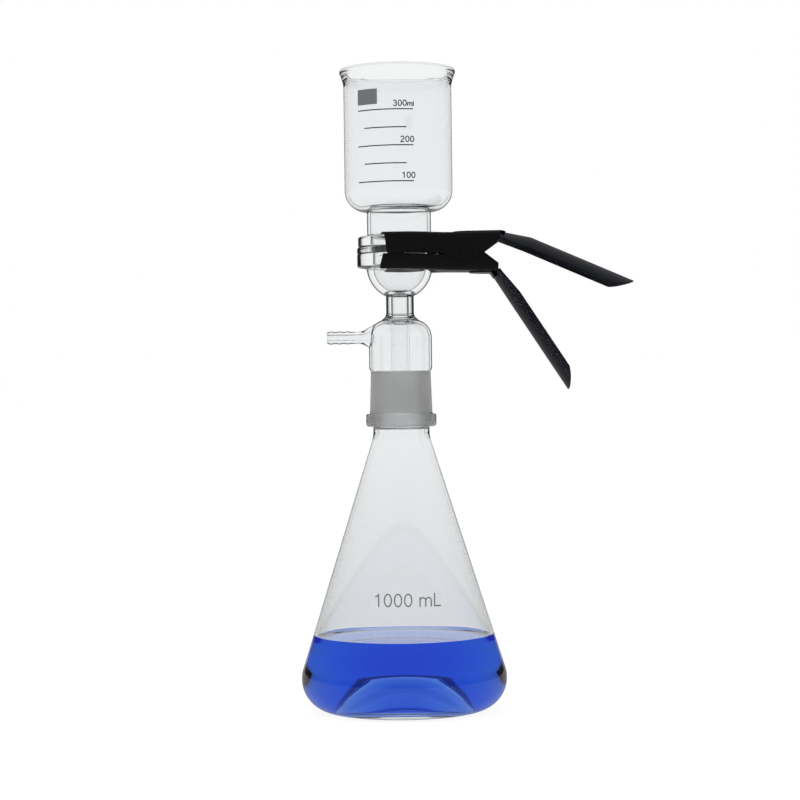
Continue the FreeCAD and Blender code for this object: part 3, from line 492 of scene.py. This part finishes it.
def blue_filtrate():
    """A clear blue solution: its colour comes from the depth the light passes through.
    Its sides bend light from glass into liquid, its top from air into liquid."""
    recipe = Recipe("blue_filtrate")
    at = recipe.place()
    across, along, up = recipe.split(at)
    cloud = recipe.noise(at, 0.02, 1.0)
    wetted = recipe.node(
        "ShaderNodeBsdfGlass",
        values={
            "Color": (0.98, 0.99, 1, 1), "Roughness": 0.0, "IOR": LIQUID_IOR / GLASS_IOR
        },
    )
    free = recipe.surface(
        Base_Color=recipe.mix(cloud, (0.95, 0.97, 1, 1), (0.98, 0.99, 1, 1)),
        Roughness=0.0,
        IOR=LIQUID_IOR,
        Transmission_Weight=1.0,
    )
    side, side_up = cavity_side(0.0)
    wall = side - (SURFACE - side_up) * math.tan(CONE)
    radius = (across * across + along * along) ** 0.5
    inward = 1.0 - (radius + (up - SURFACE) * math.tan(CONE)).above(wall - 0.1, 0.05)
    top = up.above(SURFACE - 0.1, 0.05) * inward
    depth = {"Color": (0.0, 0.385, 0.915, 1), "Density": 36.0}
    volume = recipe.node("ShaderNodeVolumeAbsorption", values=depth)
    return recipe.finish(recipe.blend(top, wetted, free), volume)


def wet_glass():
    """The flask's inner face where the liquid lies on it: the liquid's own sides bend the
    light there, so this face only lets it through, a little unevenly."""
    recipe = Recipe("wet_glass")
    film = recipe.noise(recipe.place(), 0.05, 2.0)
    thick, thin = [
        recipe.node("ShaderNodeBsdfTransparent", values={"Color": grey(passed)})
        for passed in (0.985, 0.999)
    ]
    return recipe.finish(recipe.blend(film, thick, thin))


def sintered_glass():
    """Fused glass grains, pitted and speckled. Their colour is painted dark grey: painted shade
    for pale grains that lie shaded inside the black clamp.
    """
    recipe = Recipe("sintered_glass")
    at = recipe.place()
    cells = recipe.node(
        "ShaderNodeTexVoronoi", values={"Vector": at, "Scale": 1.7}, output="Distance"
    )
    cloud = recipe.noise(at, 0.5, 4.0, 0.65)
    share = (cells * 0.9 + cloud * 0.7 - 0.35).clamped()
    # Painted shade: dark greys stand in for the shade on the pale sintered grains.
    shader = recipe.surface(
        Base_Color=recipe.mix(share, grey(0.03), grey(0.09)),
        Roughness=0.75 + cloud * 0.2,
        Normal=recipe.bump(cells, 0.0003, 0.8),
    )
    return recipe.finish(shader)


def membrane_paper():
    """White cellulose with the faint mottling of a felted web."""
    recipe = Recipe("membrane_paper")
    at = recipe.place()
    web = recipe.noise(at, 1.4, 5.0, 0.7)
    shader = recipe.surface(
        Base_Color=recipe.mix(web, grey(0.78), grey(0.88)),
        Roughness=0.9,
        Normal=recipe.bump(web, 0.00005, 0.5),
    )
    return recipe.finish(shader)


def fired_enamel(name, lines, patch=None, patch_foot=0.0):
    """Grey ink fired on the glass, slightly uneven in thickness; its writing patch, above
    a height, may have a tone of its own."""
    recipe = Recipe(name)
    at = recipe.place()
    cloud = recipe.noise(at, 0.25, 3.0)
    grain = recipe.noise(at, 4.0, 3.0)
    tone = recipe.mix(cloud, grey(lines * 0.8), grey(lines * 1.2))
    if patch:
        second = recipe.mix(cloud, cool(patch * 0.9), cool(patch * 1.1))
        tone = recipe.mix(recipe.split(at)[2].above(patch_foot, 0.5), tone, second)
    shader = recipe.surface(
        Base_Color=tone,
        Roughness=0.5 + grain * 0.15,
        Normal=recipe.bump(grain, 0.00004, 0.4),
    )
    return recipe.finish(shader)


def black_paint(name, low, high, rough):
    """Gloss black stoving paint over pressed steel: faint orange peel and dust-fine wear."""
    recipe = Recipe(name)
    at = recipe.place()
    peel = recipe.noise(at, 0.12, 1.0)
    haze = recipe.noise(at, 0.08, 3.0)
    shader = recipe.surface(
        Base_Color=recipe.mix(haze, low, high),
        Roughness=rough + haze * 0.12,
        Specular_IOR_Level=0.25,
        Normal=recipe.bump(peel, 0.0002, 0.06),
    )
    return recipe.finish(shader)


def oiled_wire():
    """Drawn spring steel, dark with oil."""
    recipe = Recipe("oiled_wire")
    at = recipe.place()
    streak = recipe.noise(at, 1.1, 3.0)
    shader = recipe.surface(
        Base_Color=recipe.mix(streak, grey(0.16), grey(0.3)),
        Metallic=0.9,
        Roughness=0.28 + streak * 0.15,
        Normal=recipe.bump(streak, 0.00005, 0.3),
    )
    return recipe.finish(shader)


# ------------------------------------------------------------------ pieces of glass


def flask_profile():
    """Pushed-up base, foot ring, round corner, cone, neck blend and ground cone outside;
    inside, a neck and cone one wall within and a floor on a heavy base."""
    side = CORNER_AT + CORNER * math.cos(CONE)
    side_up = CORNER + CORNER * math.sin(CONE)
    neck_up = side_up + (side - NECK) / math.tan(CONE)
    outside = np.vstack([
        pushed_up(PUNT, 0.0, FOOT_AT, FOOT_ROUND, -90.0, 0.0),
        arc((CORNER_AT, CORNER), CORNER, -90, CONE_ANGLE, 0.8),
        corner_arcs([
            (side, side_up),
            (NECK, neck_up, 30.0),
            (NECK, JOINT_FOOT - 1.6, 1.0),
            (JOINT_WIDE, JOINT_FOOT, 0.5),
            (JOINT_NARROW, FLASK_TOP, 0.8),
            (NECK_BORE, FLASK_TOP, 0.8),
            (NECK_BORE, FLASK_TOP - 4),
        ]),
    ])
    inner_side, inner_side_up = cavity_side(0.0)
    bore_up = inner_side_up + (inner_side - NECK_BORE) / math.tan(CONE)
    inside = corner_arcs([
        (NECK_BORE, FLASK_TOP - 4),
        (NECK_BORE, bore_up, 33.3),
        liquid_edge(0.0),
        (inner_side, inner_side_up),
    ])
    return refined(np.vstack([outside, inside, cavity_floor(0.0)[::-1]]), 2.0)


def pushed_up(crown, foot, centre, rounding, end, into):
    """A pushed-up base in section: a dome from the axis that runs smoothly into the round
    foot about a centre, and that foot as far as an angle, all moved outwards by into."""
    rise = crown - foot
    both = (centre**2 + rise**2) / (2 * rise)
    tilt = math.degrees(math.asin(centre / both))
    dome = arc((0, crown - both + rounding), both - rounding - into, 90, 90 - tilt, 1.2)
    dome[0, 0] = 0.0
    foot_arc = arc((centre, foot + rounding), rounding + into, -90 - tilt, end, 0.6)
    return np.vstack([dome[:-1], foot_arc])


def cavity_side(into):
    """Where the cavity's round corner meets its cone."""
    radius = CAVITY_ROUND + into
    return CAVITY_AT + radius * math.cos(CONE), CAVITY_UP + radius * math.sin(CONE)


def cavity_floor(into):
    """The cavity's pushed-up floor and round corner, moved into the glass by a little."""
    return pushed_up(CAVITY_CROWN, CAVITY_FOOT, CAVITY_AT, CAVITY_ROUND, CONE_ANGLE, into)


def liquid_edge(into):
    """Where the liquid's meniscus ends on the cavity's cone, moved into the glass."""
    side, side_up = cavity_side(into)
    edge_up = SURFACE + MENISCUS
    return side - (edge_up - side_up) * math.tan(CONE), edge_up


def filtrate_profile():
    """The flask's cavity up to the liquid's level, a little into the wall, with a
    meniscus that falls off exponentially from where it meets the glass."""
    fall = np.linspace(0, 9.0, 24)
    edge = liquid_edge(INTO_WALL)[0]
    meniscus = np.c_[edge - fall, SURFACE + MENISCUS * np.exp(-fall / 1.6)]
    path = np.vstack([cavity_floor(INTO_WALL), meniscus, [[0.0, SURFACE]]])
    return refined(path, 2.0)


def wet_faces(piece):
    """Which faces of the flask lie on its cavity below the liquid's edge: those whose
    middle is within 0.6 mm of the cavity's profile."""
    edge = liquid_edge(0.0)
    cavity = refined(np.vstack([cavity_floor(0.0), [edge]]), 0.5)
    middle = np.empty(3 * len(piece.data.polygons))
    piece.data.polygons.foreach_get("center", middle)
    middle = middle.reshape(-1, 3) / MM
    flat = np.c_[np.hypot(middle[:, 0], middle[:, 1]), middle[:, 2]]
    low = flat[:, 1] < edge[1]
    gap = np.linalg.norm(flat[low][:, None] - cavity[None], axis=2).min(axis=1)
    low[low] = gap < 0.6
    return low


def make_flask():
    flask = lathe("flask_glass", flask_profile(), 224)
    shade(flask)
    flask.data.materials.append(
        clear_glass(
            "flask_glass", ((50.0, 0.85), (180.0, 0.93)),
            # Heights, Fresnel shares and softness of the painted dark edge lines.
            ((0.0, 1.5, 0.05), (LIQUID_TOP + 1.0, 0.60, 0.3), (JOINT_FOOT - 6.0, 0.3, 0.2)),
            (JOINT_FOOT, FLASK_TOP - 1.0, GROUND_FROM, 21.0),
        )
    )
    flask.data.materials.append(wet_glass())
    flask.data.polygons.foreach_set("material_index", wet_faces(flask).astype(np.int32))
    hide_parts("conical_flask")
    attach(flask, UNIT)

    liquid = lathe("blue_liquid", filtrate_profile(), 224)
    shade(liquid, 40)
    liquid.data.materials.append(blue_filtrate())
    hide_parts("filtrate")
    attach(liquid, UNIT)


def head_outside():
    """Collar, socket, hood, shoulder, stem, bowl and flange, from the foot up."""
    turn = math.asin((STEM_FOOT_UP - SHOULDER_UP) / SHOULDER)
    foot = SHOULDER_AT + SHOULDER * math.cos(turn)
    bowl_foot = BOWL_CENTRE - math.sqrt(BOWL**2 - STEM**2)
    under = HEAD_TOP - HEAD_FLANGE_TALL - 1.3
    bowl_edge = math.sqrt(BOWL**2 - (BOWL_CENTRE - under) ** 2)
    shoulder = arc((SHOULDER_AT, SHOULDER_UP), SHOULDER, 0, math.degrees(turn), 0.4)
    low_turn, high_turn = [math.degrees(math.acos(at / BOWL)) for at in (STEM, bowl_edge)]
    bowl = arc((0, BOWL_CENTRE), BOWL, -low_turn, -high_turn, 0.4)
    stem = corner_arcs([
        (foot, STEM_FOOT_UP),
        (STEM, STEM_FOOT_UP + 3.0, 5.0),
        (STEM, bowl_foot, 1.2),
        tuple(bowl[3]),
    ])
    low = corner_arcs([
        (0, SOCKET_END),
        (SOCKET_COLLAR, SOCKET_END, 1.8),
        (SOCKET_COLLAR, SOCKET_END + SOCKET_COLLAR_TALL, 1.0),
        (SOCKET_LOW, SOCKET_END + SOCKET_COLLAR_TALL, 0.8),
        (SOCKET_HIGH, FLASK_TOP, 1.0),
        (HOOD, FLASK_TOP + 1.8, 1.0),
        (HOOD, SHOULDER_UP),
    ])
    top = corner_arcs([
        tuple(bowl[-4]),
        (bowl_edge + 0.1, under, 1.5),
        (HEAD_FLANGE, HEAD_TOP - HEAD_FLANGE_TALL, 0.9),
        (HEAD_FLANGE, HEAD_TOP - 5.0, 0.25),
        (HEAD_FLANGE - HEAD_GROOVE, HEAD_TOP - 4.6, 0.25),
        (HEAD_FLANGE, HEAD_TOP - 4.2, 0.25),
        (HEAD_FLANGE, HEAD_TOP, 1.4),
        (DISC_SEAT, HEAD_TOP),
        (0, HEAD_TOP),
    ])
    return refined(np.vstack([low, shoulder[1:], stem[1:-1], bowl[3:-4], top]), 1.5)


def passage_profile():
    """The disc's seat, the bowl, the stem and the drip tube's bore, open at both ends."""
    ledge = HEAD_TOP - DISC_TALL
    turn = math.degrees(math.acos(STEM_BORE / BOWL_INSIDE))
    bowl = arc((0, BOWL_CENTRE), BOWL_INSIDE, 0, -turn, 0.4)
    upper = corner_arcs([
        (0, HEAD_TOP + 1),
        (DISC_SEAT, HEAD_TOP + 1),
        (DISC_SEAT, ledge, 0.3),
        (BOWL_INSIDE, ledge, 0.3),
        (BOWL_INSIDE, BOWL_CENTRE),
    ])
    lower = corner_arcs([
        tuple(bowl[-3]),
        (STEM_BORE, BOWL_CENTRE - math.sqrt(BOWL_INSIDE**2 - STEM_BORE**2), 1.5),
        (STEM_BORE, STEM_FOOT_UP, 1.0),
        (DRIP_BORE, HOOD_TOP - HOOD_WALL, 1.0),
        (DRIP_BORE, DRIP_CUT),
        (0, DRIP_CUT),
    ])
    return refined(np.vstack([upper, bowl[1:-3], lower]), 1.5)


def air_space_profile():
    """The ground socket and the hood's inside, round the drip tube and its rounded tip."""
    path = corner_arcs([
        (0, SOCKET_CUT),
        (JOINT_WIDE + JOINT_GAP, SOCKET_CUT),
        (JOINT_WIDE + JOINT_GAP, JOINT_FOOT, 0.5),
        (JOINT_NARROW + JOINT_GAP, FLASK_TOP, 0.5),
        (HOOD - HOOD_WALL, FLASK_TOP + 1.8, 0.8),
        (HOOD - HOOD_WALL, SHOULDER_UP),
    ])
    shoulder = arc((SHOULDER_AT, SHOULDER_UP), SHOULDER - HOOD_WALL, 0, 88, 0.4)
    core = corner_arcs([
        (SHOULDER_AT, HOOD_TOP - HOOD_WALL),
        (DRIP_TUBE, HOOD_TOP - HOOD_WALL, 1.0),
        (DRIP_TUBE, DRIP_TIP, 0.55),
        (5.0, DRIP_TIP),
        (0, DRIP_TIP),
    ])
    return refined(np.vstack([path, shoulder[1:], core]), 1.5)


def arm_outside_profile():
    """Hose end with three low ridges, each a squared sine, a plain stretch, and the cone
    into the hood."""
    steps = np.linspace(0, 3 * ARM_RIDGE_PITCH, 49)
    ridge = ARM + ARM_RIDGE * np.sin(math.pi * steps / ARM_RIDGE_PITCH) ** 2
    wavy = np.c_[ridge, steps - ARM_REACH]
    end = corner_arcs([
        (0, -ARM_REACH),
        (ARM, -ARM_REACH, 0.7),
        (ARM + 0.02, 1.2 - ARM_REACH),
    ])
    cone = corner_arcs([
        (ARM, -32.0),
        (ARM, -25.5, 9.0),
        (STEM_FOOT_UP - FLASK_TOP - ARM_LEVEL, -12.5),
        (0, -12.5),
    ])
    return refined(np.vstack([end, wavy[3:], cone]), 1.2)


def arm_bore_profile():
    """The arm's bore, widening smoothly into the hood."""
    return refined(corner_arcs([
        (0, -50.0),
        (ARM_BORE, -50.0),
        (ARM_BORE, -23.4, 8.0),
        (7.4, -15.5),
        (0, -15.5),
    ]), 1.2)


def make_head():
    level = FLASK_TOP + ARM_LEVEL
    body = lathe("head_body", head_outside(), 192)
    arm = lathe("arm_body", arm_outside_profile(), 96, "X", level)
    passage = lathe("passage", passage_profile(), 160)
    air = lathe("air_space", air_space_profile(), 176)
    bore = lathe("arm_bore", arm_bore_profile(), 64, "X", level)
    head = carved("filter_head_glass", body, (arm,), (passage, air, bore))
    shade(head, 38)
    head.data.materials.clear()
    head.data.materials.append(
        clear_glass(
            "head_glass", ((190.0, 0.93), (300.0, 0.93)),
            # Heights, Fresnel shares and softness of the painted dark edge lines.
            ((0.0, 0.30, 0.2), (STEM_FOOT_UP + 1.5, 0.065, 0.06),
             (BOWL_CENTRE - 18.5, 0.24, 0.2), (HEAD_TOP - 13.2, 0.13, 0.10)),
            (JOINT_FOOT, FLASK_TOP - 0.4, GROUND_FROM, SOCKET_LOW), ARM_START,
        )
    )
    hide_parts("filter_head")
    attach(head, UNIT)


def cup_profile():
    """Ground flange, neck, round shoulder, straight wall and beaded rim."""
    inside = CUP_RADIUS - CUP_WALL
    corner = (CUP_RADIUS - CUP_CORNER, CUP_FLOOR + CUP_CORNER)
    flare_up = CUP_TOP - 10.0
    low = corner_arcs([
        (CUP_NECK_BORE, CUP_FACE, 0.3),
        (CUP_FLANGE, CUP_FACE, 0.7),
        (CUP_FLANGE, CUP_FLANGE_TOP, 1.1),
        (CUP_NECK, CUP_FLANGE_TOP, 1.4),
        (CUP_NECK, CUP_FLOOR, 0.7),
        (corner[0], CUP_FLOOR),
    ])
    shoulder = arc(corner, CUP_CORNER, -90, 0, 0.5)
    lip = arc((CUP_RIM - BEAD, CUP_TOP - BEAD), BEAD, -45, 135, 0.2)
    outer = corner_arcs([(CUP_RADIUS, corner[1]), (CUP_RADIUS, flare_up, FLARE), tuple(lip[0])])
    inner = corner_arcs([tuple(lip[-1]), (inside, flare_up, FLARE), (inside, corner[1])])
    floor = arc(corner, CUP_CORNER - CUP_WALL, 0, -90, 0.5)
    bore = corner_arcs([
        tuple(floor[-1]),
        (CUP_NECK_BORE, CUP_FLOOR + CUP_WALL, 1.0),
        (CUP_NECK_BORE, CUP_FACE, 0.3),
    ])
    return refined(
        np.vstack([low, shoulder[1:], outer[1:-1], lip, inner[1:], floor[1:], bore[1:-1]]), 2.0
    )


def make_cup():
    cup = lathe("filter_cup_glass", cup_profile(), 208)
    shade(cup)
    cup.data.materials.append(clear_glass(
        "cup_glass", ((330.0, 0.935), (420.0, 0.925)),
        # Heights, Fresnel shares and softness of the painted dark edge lines.
        ((0.0, 0.13, 0.10), (CUP_FLANGE_TOP + 1.0, 0.28, 0.2), (CUP_FLOOR - 0.5, 0.42, 0.2),
         (CUP_FLOOR + 10.0, 0.66, 0.2), (CUP_TOP - 12.0, 0.45, 0.3)),
    ))
    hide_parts("filter_cup")
    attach(cup, UNIT)


# ------------------------------------------------------------------ enamel and numerals


def on_cup(across, up, lift):
    """Wraps flat print round the cup: distance across becomes an angle about the axis."""
    angle = across / CUP_RADIUS - math.pi / 2
    radius = CUP_RADIUS + lift
    return np.c_[radius * np.cos(angle), radius * np.sin(angle), up]


def make_enamel():
    """Five graduation lines and the plain patch, each filled across by short strips."""
    lines = []
    for i in range(5):
        start, span = SHORT_LINE if i % 2 else LONG_LINE
        level = CUP_FLOOR + LINE_FOOT + i * LINE_PITCH
        lines.append((start, span, level - LINE_HALF, level + LINE_HALF))
    top = level + PATCH_GAP
    lines.append((LONG_LINE[0], PATCH_SPAN, top, top + PATCH_TALL))
    points, faces = [], []
    for start, span, low, high in lines:
        left = -math.radians(start) * CUP_RADIUS
        right = math.radians(span - start) * CUP_RADIUS
        grid_across = np.linspace(left, right, max(12, int((right - left) / 0.8)))
        grid_up = np.linspace(low, high, 4 if high - low < 2 else 14)
        base = sum(len(p) for p in points)
        piece, quads = coat_of(grid_across, grid_up)
        points.append(piece)
        faces.extend((np.array(quads) + base).tolist())
    enamel = mesh_piece("enamel_scale", np.vstack(points), faces, False)
    facing_out(enamel)
    shade(enamel, 40)
    enamel.data.materials.append(fired_enamel("scale_enamel", 0.006, 0.16, top - 1.5))
    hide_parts("cup_scale")
    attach(enamel, UNIT)


def coat_of(across, up, coat=COAT):
    """A closed coat of enamel over a grid: the face on the glass, the face one coat out,
    and the four edges between them."""
    columns, rows = len(across), len(up)
    x, z = np.meshgrid(across, up)
    inner = on_cup(x.ravel(), z.ravel(), -0.01)
    outer = on_cup(x.ravel(), z.ravel(), coat)
    count = columns * rows
    index = np.arange(count).reshape(rows, columns)
    a, b = index[:-1, :-1].ravel(), index[:-1, 1:].ravel()
    c, d = index[1:, 1:].ravel(), index[1:, :-1].ravel()
    faces = np.vstack([np.c_[a, b, c, d] + count, np.c_[d, c, b, a]])
    rim = np.r_[index[0], index[1:, -1], index[-1, -2::-1], index[-2:0:-1, 0]]
    after = np.roll(rim, -1)
    walls = np.c_[rim, after, after + count, rim + count]
    return np.vstack([inner, outer]), np.vstack([faces, walls]).tolist()


def bow(centre, radius, start, end, count=17):
    """Points along an ellipse about a centre, between two angles in degrees."""
    angles = np.radians(np.linspace(start, end, count))
    return np.c_[centre[0] + radius[0] * np.cos(angles), centre[1] + radius[1] * np.sin(angles)]


def glyphs():
    """Each sign's pen strokes and its width, all in cap heights."""
    zero = bow((0.39, 0.5), (0.27, 0.45), 90, 450, 41)
    one = np.array([(0.17, 0.76), (0.30, 0.80), (0.40, 0.87), (0.44, 0.97), (0.45, 0.0)])
    two = np.vstack([
        bow((0.38, 0.69), (0.26, 0.26), 172, -28),
        bow((0.72, -0.06), (0.58, 0.62), 128, 172, 9)[[3, 6]],
        [(0.12, 0.05), (0.68, 0.05)],
    ])
    three = [
        np.vstack([bow((0.37, 0.73), (0.23, 0.22), 165, -78), [(0.30, 0.515)]]),
        np.vstack([[(0.30, 0.515)], bow((0.38, 0.28), (0.27, 0.235), 82, -165)]),
    ]
    small = [
        np.array([(0.13, 0.0), (0.13, 0.72)]),
        np.vstack([bow((0.355, 0.47), (0.215, 0.2), 172, 0, 11), [(0.57, 0.0)]]),
        np.vstack([bow((0.795, 0.47), (0.215, 0.2), 172, 0, 11), [(1.01, 0.0)]]),
    ]
    stem = [np.array([(0.15, 0.0), (0.15, 1.0)])]
    foot = [np.array([(0.15, 1.0), (0.15, 0.05), (0.68, 0.05)])]
    return {
        "0": ([zero], 0.776), "1": ([one], 0.776), "2": ([two], 0.776),
        "3": (three, 0.776), "m": (small, 1.14), "l": (stem, 0.31), "L": (foot, 0.74),
        " ": ([], 0.388),
    }


def pen_ribbon(path, width):
    """The two edges of a pen stroke along a path: each point moved half the width to
    either side, square to the path, with mitred corners and square ends."""
    step = np.diff(path, axis=0)
    step /= np.linalg.norm(step, axis=1)[:, None]
    normal = np.c_[-step[:, 1], step[:, 0]]
    before = np.vstack([normal[:1], normal])
    after = np.vstack([normal, normal[-1:]])
    side = before + after
    side /= np.maximum((side * before).sum(axis=1), 0.35)[:, None]
    if np.linalg.norm(path[0] - path[-1]) < 1e-6:
        side[0] = side[-1] = (before[-1] + after[0]) / 2
    half = side * width / 2
    return path + half, path - half


def numerals(name, text, height, right, baseline, weight, wrap, small=1.0):
    """Lettering of one cap height with its right end and baseline given, as closed coats
    of ink wrapped on the glass; small sets the height of its letters against figures."""
    signs = glyphs()
    strokes, pen = [], 0.0
    for sign in text:
        paths, width = signs[sign]
        scale = small if sign.isalpha() else 1.0
        strokes += [path * scale + (pen, 0.0) for path in paths]
        pen += width * scale
    edge = max(path[:, 0].max() for path in strokes) + weight / 2
    points, faces, base = [], [], 0
    for path in strokes:
        path = refined(path, 0.08)
        left, far = pen_ribbon(path, weight)
        sides = [(flat - (edge, 0.0)) * height + (right, baseline) for flat in (left, far)]
        rows = [wrap(flat[:, 0], flat[:, 1], lift) for lift in (-0.01, COAT) for flat in sides]
        count = len(path)
        a = np.arange(count - 1)
        rings = [0, 1, 3, 2]
        for one, two in zip(rings, rings[1:] + rings[:1]):
            low, high = base + one * count, base + two * count
            faces.append(np.c_[low + a, low + a + 1, high + a + 1, high + a])
        closed = np.linalg.norm(path[0] - path[-1]) < 1e-6
        if not closed:
            first = base + np.array([0, count, 3 * count, 2 * count])
            faces.append(np.vstack([first, first[::-1] + count - 1]))
        points += rows
        base += 4 * count
    piece = mesh_piece(name, np.vstack(points), np.vstack(faces).tolist(), False)
    facing_out(piece)
    return piece


def wrap_cone(across, up, lift):
    """The same on the flask's cone, where the radius falls as the height grows."""
    side = CORNER_AT + CORNER * math.cos(CONE)
    side_up = CORNER + CORNER * math.sin(CONE)
    radius = side - (up - side_up) * math.tan(CONE)
    angle = across / radius - math.pi / 2
    out = radius + lift * math.cos(CONE)
    return np.c_[out * np.cos(angle), out * np.sin(angle), up + lift * math.sin(CONE)]


def make_numerals():
    """The cup's volumes, and the flask's in a paler ink; right ends and baselines in mm."""
    ink = fired_enamel("numeral_enamel", 0.006)
    pale = fired_enamel("flask_numeral_enamel", 0.17)
    tall, weight = 4.0, 0.16
    made = [
        (numerals("numeral_300ml", "300ml", tall, 10.6, 393.0, weight, on_cup, 0.8), ink),
        (numerals("numeral_200", "200", tall, 10.6, 369.8, weight, on_cup), ink),
        (numerals("numeral_100", "100", tall, 11.2, 346.7, weight, on_cup), ink),
        (numerals("numeral_1000ml", "1000 mL", 8.4, 25.2, 72.4, 0.10, wrap_cone), pale),
    ]
    for piece, material in made:
        piece.data.materials.append(material)
        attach(piece, UNIT)


# ------------------------------------------------------------------ clamp and discs


def smooth_copy(node, name, material, body, bevel=0.0):
    """A solid's own mesh, its points merged and its faces shaded smooth, with its sharp
    edges broken by a small bevel where one is given."""
    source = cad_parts[node]
    mesh = source.data.copy()
    mesh.name = name
    work = bmesh.new()
    work.from_mesh(mesh)
    bmesh.ops.remove_doubles(work, verts=work.verts, dist=2e-6)
    if bevel:
        flat = math.radians(0.4)
        bmesh.ops.dissolve_limit(work, angle_limit=flat, verts=work.verts, edges=work.edges)
    work.to_mesh(mesh)
    work.free()
    piece = bpy.data.objects.new(name, mesh)
    bpy.context.scene.collection.objects.link(piece)
    mesh.materials.clear()
    mesh.materials.append(material)
    if bevel:
        edge = piece.modifiers.new("broken_edges", "BEVEL")
        edge.width = bevel * MM
        edge.segments = 3
        edge.limit_method = "ANGLE"
        edge.angle_limit = math.radians(35)
        edge.harden_normals = False
        edge.miter_outer = "MITER_ARC"
    shade(piece, 30)
    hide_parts(node)
    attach(piece, body)


def make_clamp():
    jaw = black_paint("jaw_paint", (0.0015, 0.0015, 0.002, 1), (0.003, 0.003, 0.004, 1), 0.3)
    # Painted sheen: the handles' black paint is a lighter navy than the jaws', standing in for
    # the navy light on their lit middles.
    sheen_grip = black_paint("grip_paint_with_sheen", (0.002, 0.0025, 0.006, 1), (0.004, 0.005, 0.011, 1), 0.3)
    smooth_copy("upper_jaw", "upper_jaw_steel", jaw, LEVER, 0.25)
    smooth_copy("lower_jaw", "lower_jaw_steel", jaw, UNIT, 0.25)
    smooth_copy("upper_handle", "upper_handle_steel", sheen_grip, LEVER)
    smooth_copy("lower_handle", "lower_handle_steel", sheen_grip, UNIT)
    smooth_copy("pivot_pin", "pivot_pin_steel", jaw, UNIT, 0.3)
    smooth_copy("torsion_spring", "spring_wire", oiled_wire(), UNIT)


def make_discs():
    smooth_copy("sintered_disc", "sintered_disc_grain", sintered_glass(),
                UNIT)
    smooth_copy("membrane_filter", "membrane_sheet", membrane_paper(), UNIT)


# ------------------------------------------------------------------ studio


def ray_kinds(recipe):
    """Which kind of ray asks: the eye's own, one through glass, one off a gloss."""
    path = recipe.tree.nodes.new("ShaderNodeLightPath")
    names = ("Is Camera Ray", "Is Transmission Ray", "Is Glossy Ray")
    return [Wire(recipe.tree, path.outputs[name]) for name in names]


def make_floor():
    """A pale floor that carries a soft shadow of the object."""
    far = 12000.0
    corners = [(-far, -far, -0.05), (far, -far, -0.05), (far, far, -0.05), (-far, far, -0.05)]
    floor = mesh_piece("floor", corners, [(0, 1, 2, 3)], False)
    recipe = Recipe("pale_floor")
    speck = recipe.noise(recipe.place(), 0.02, 2.0)
    dull, fresh = [
        recipe.node("ShaderNodeBsdfDiffuse", values={"Color": grey(level)})
        for level in (0.15, 0.16)
    ]
    eye, through, gloss = ray_kinds(recipe)
    other = 1.0 - (eye + through).clamped()
    level = eye * 0.90 + through + other * 0.45 - gloss * (1.0 - through) * 0.2
    glow = recipe.node("ShaderNodeEmission", values={"Color": grey(1.0), "Strength": level})
    ground = recipe.blend(speck, dull, fresh)
    lit = recipe.node("ShaderNodeAddShader", values={0: ground, 1: glow})
    floor.data.materials.append(recipe.finish(recipe.blend(through, lit, glow)))


def make_world():
    """White behind the object for the eye and through glass; dimmer for reflections."""
    world = bpy.data.worlds.new("studio")
    bpy.context.scene.world = world
    recipe = Recipe("studio", world)
    eye, through, gloss = ray_kinds(recipe)
    up = recipe.split(recipe.node("ShaderNodeTexCoord", output="Generated"))[2]
    seen = 1.0 - up.above(0.62, 0.5) * 0.4
    mirrored = 0.06 + up.above(0.35, 0.5) * 0.35
    other = gloss * mirrored + (1.0 - gloss) * 0.85
    level = eye + (1.0 - eye) * (through * seen + (1.0 - through) * other)
    sky = {"Color": grey(1.0), "Strength": level}
    recipe.finish(recipe.node("ShaderNodeBackground", values=sky))


def area_light(name, place, target, width, height, power):
    lamp = bpy.data.lights.new(name, "AREA")
    lamp.shape = "RECTANGLE"
    lamp.size = width
    lamp.size_y = height
    lamp.energy = power
    holder = bpy.data.objects.new(name, lamp)
    bpy.context.scene.collection.objects.link(holder)
    holder.location = place
    way = Vector(target) - Vector(place)
    holder.rotation_euler = way.to_track_quat("-Z", "Y").to_euler()
    holder.visible_glossy = False
    holder.visible_transmission = False


def make_studio():
    make_floor()
    make_world()
    area_light("key", (-0.9, -0.9, 1.3), (0, 0, 0.25), 0.7, 0.7, 7.0)
    area_light("fill", (1.2, -0.7, 0.9), (0, 0, 0.25), 0.5, 0.9, 4.0)


def make_camera():
    """Level with the ground joint, 1.46 m in front of the flask, rolled by a trace."""
    data = bpy.data.cameras.new("camera")
    data.sensor_width = 36.0
    data.lens = 99.63
    data.shift_x = -0.001375
    data.clip_end = 50.0
    camera = bpy.data.objects.new("camera", data)
    bpy.context.scene.collection.objects.link(camera)
    upright = Matrix.Rotation(math.pi / 2, 4, "X")
    roll = Matrix.Rotation(-0.0122, 4, "Z")
    camera.matrix_world = Matrix.Translation((0.0, -1.458, 0.204)) @ upright @ roll
    bpy.context.scene.camera = camera


make_camera()
make_studio()
make_flask()
make_head()
make_discs()
make_cup()
make_enamel()
make_numerals()
make_clamp()

view = bpy.context.scene.view_settings
view.view_transform = "Standard"
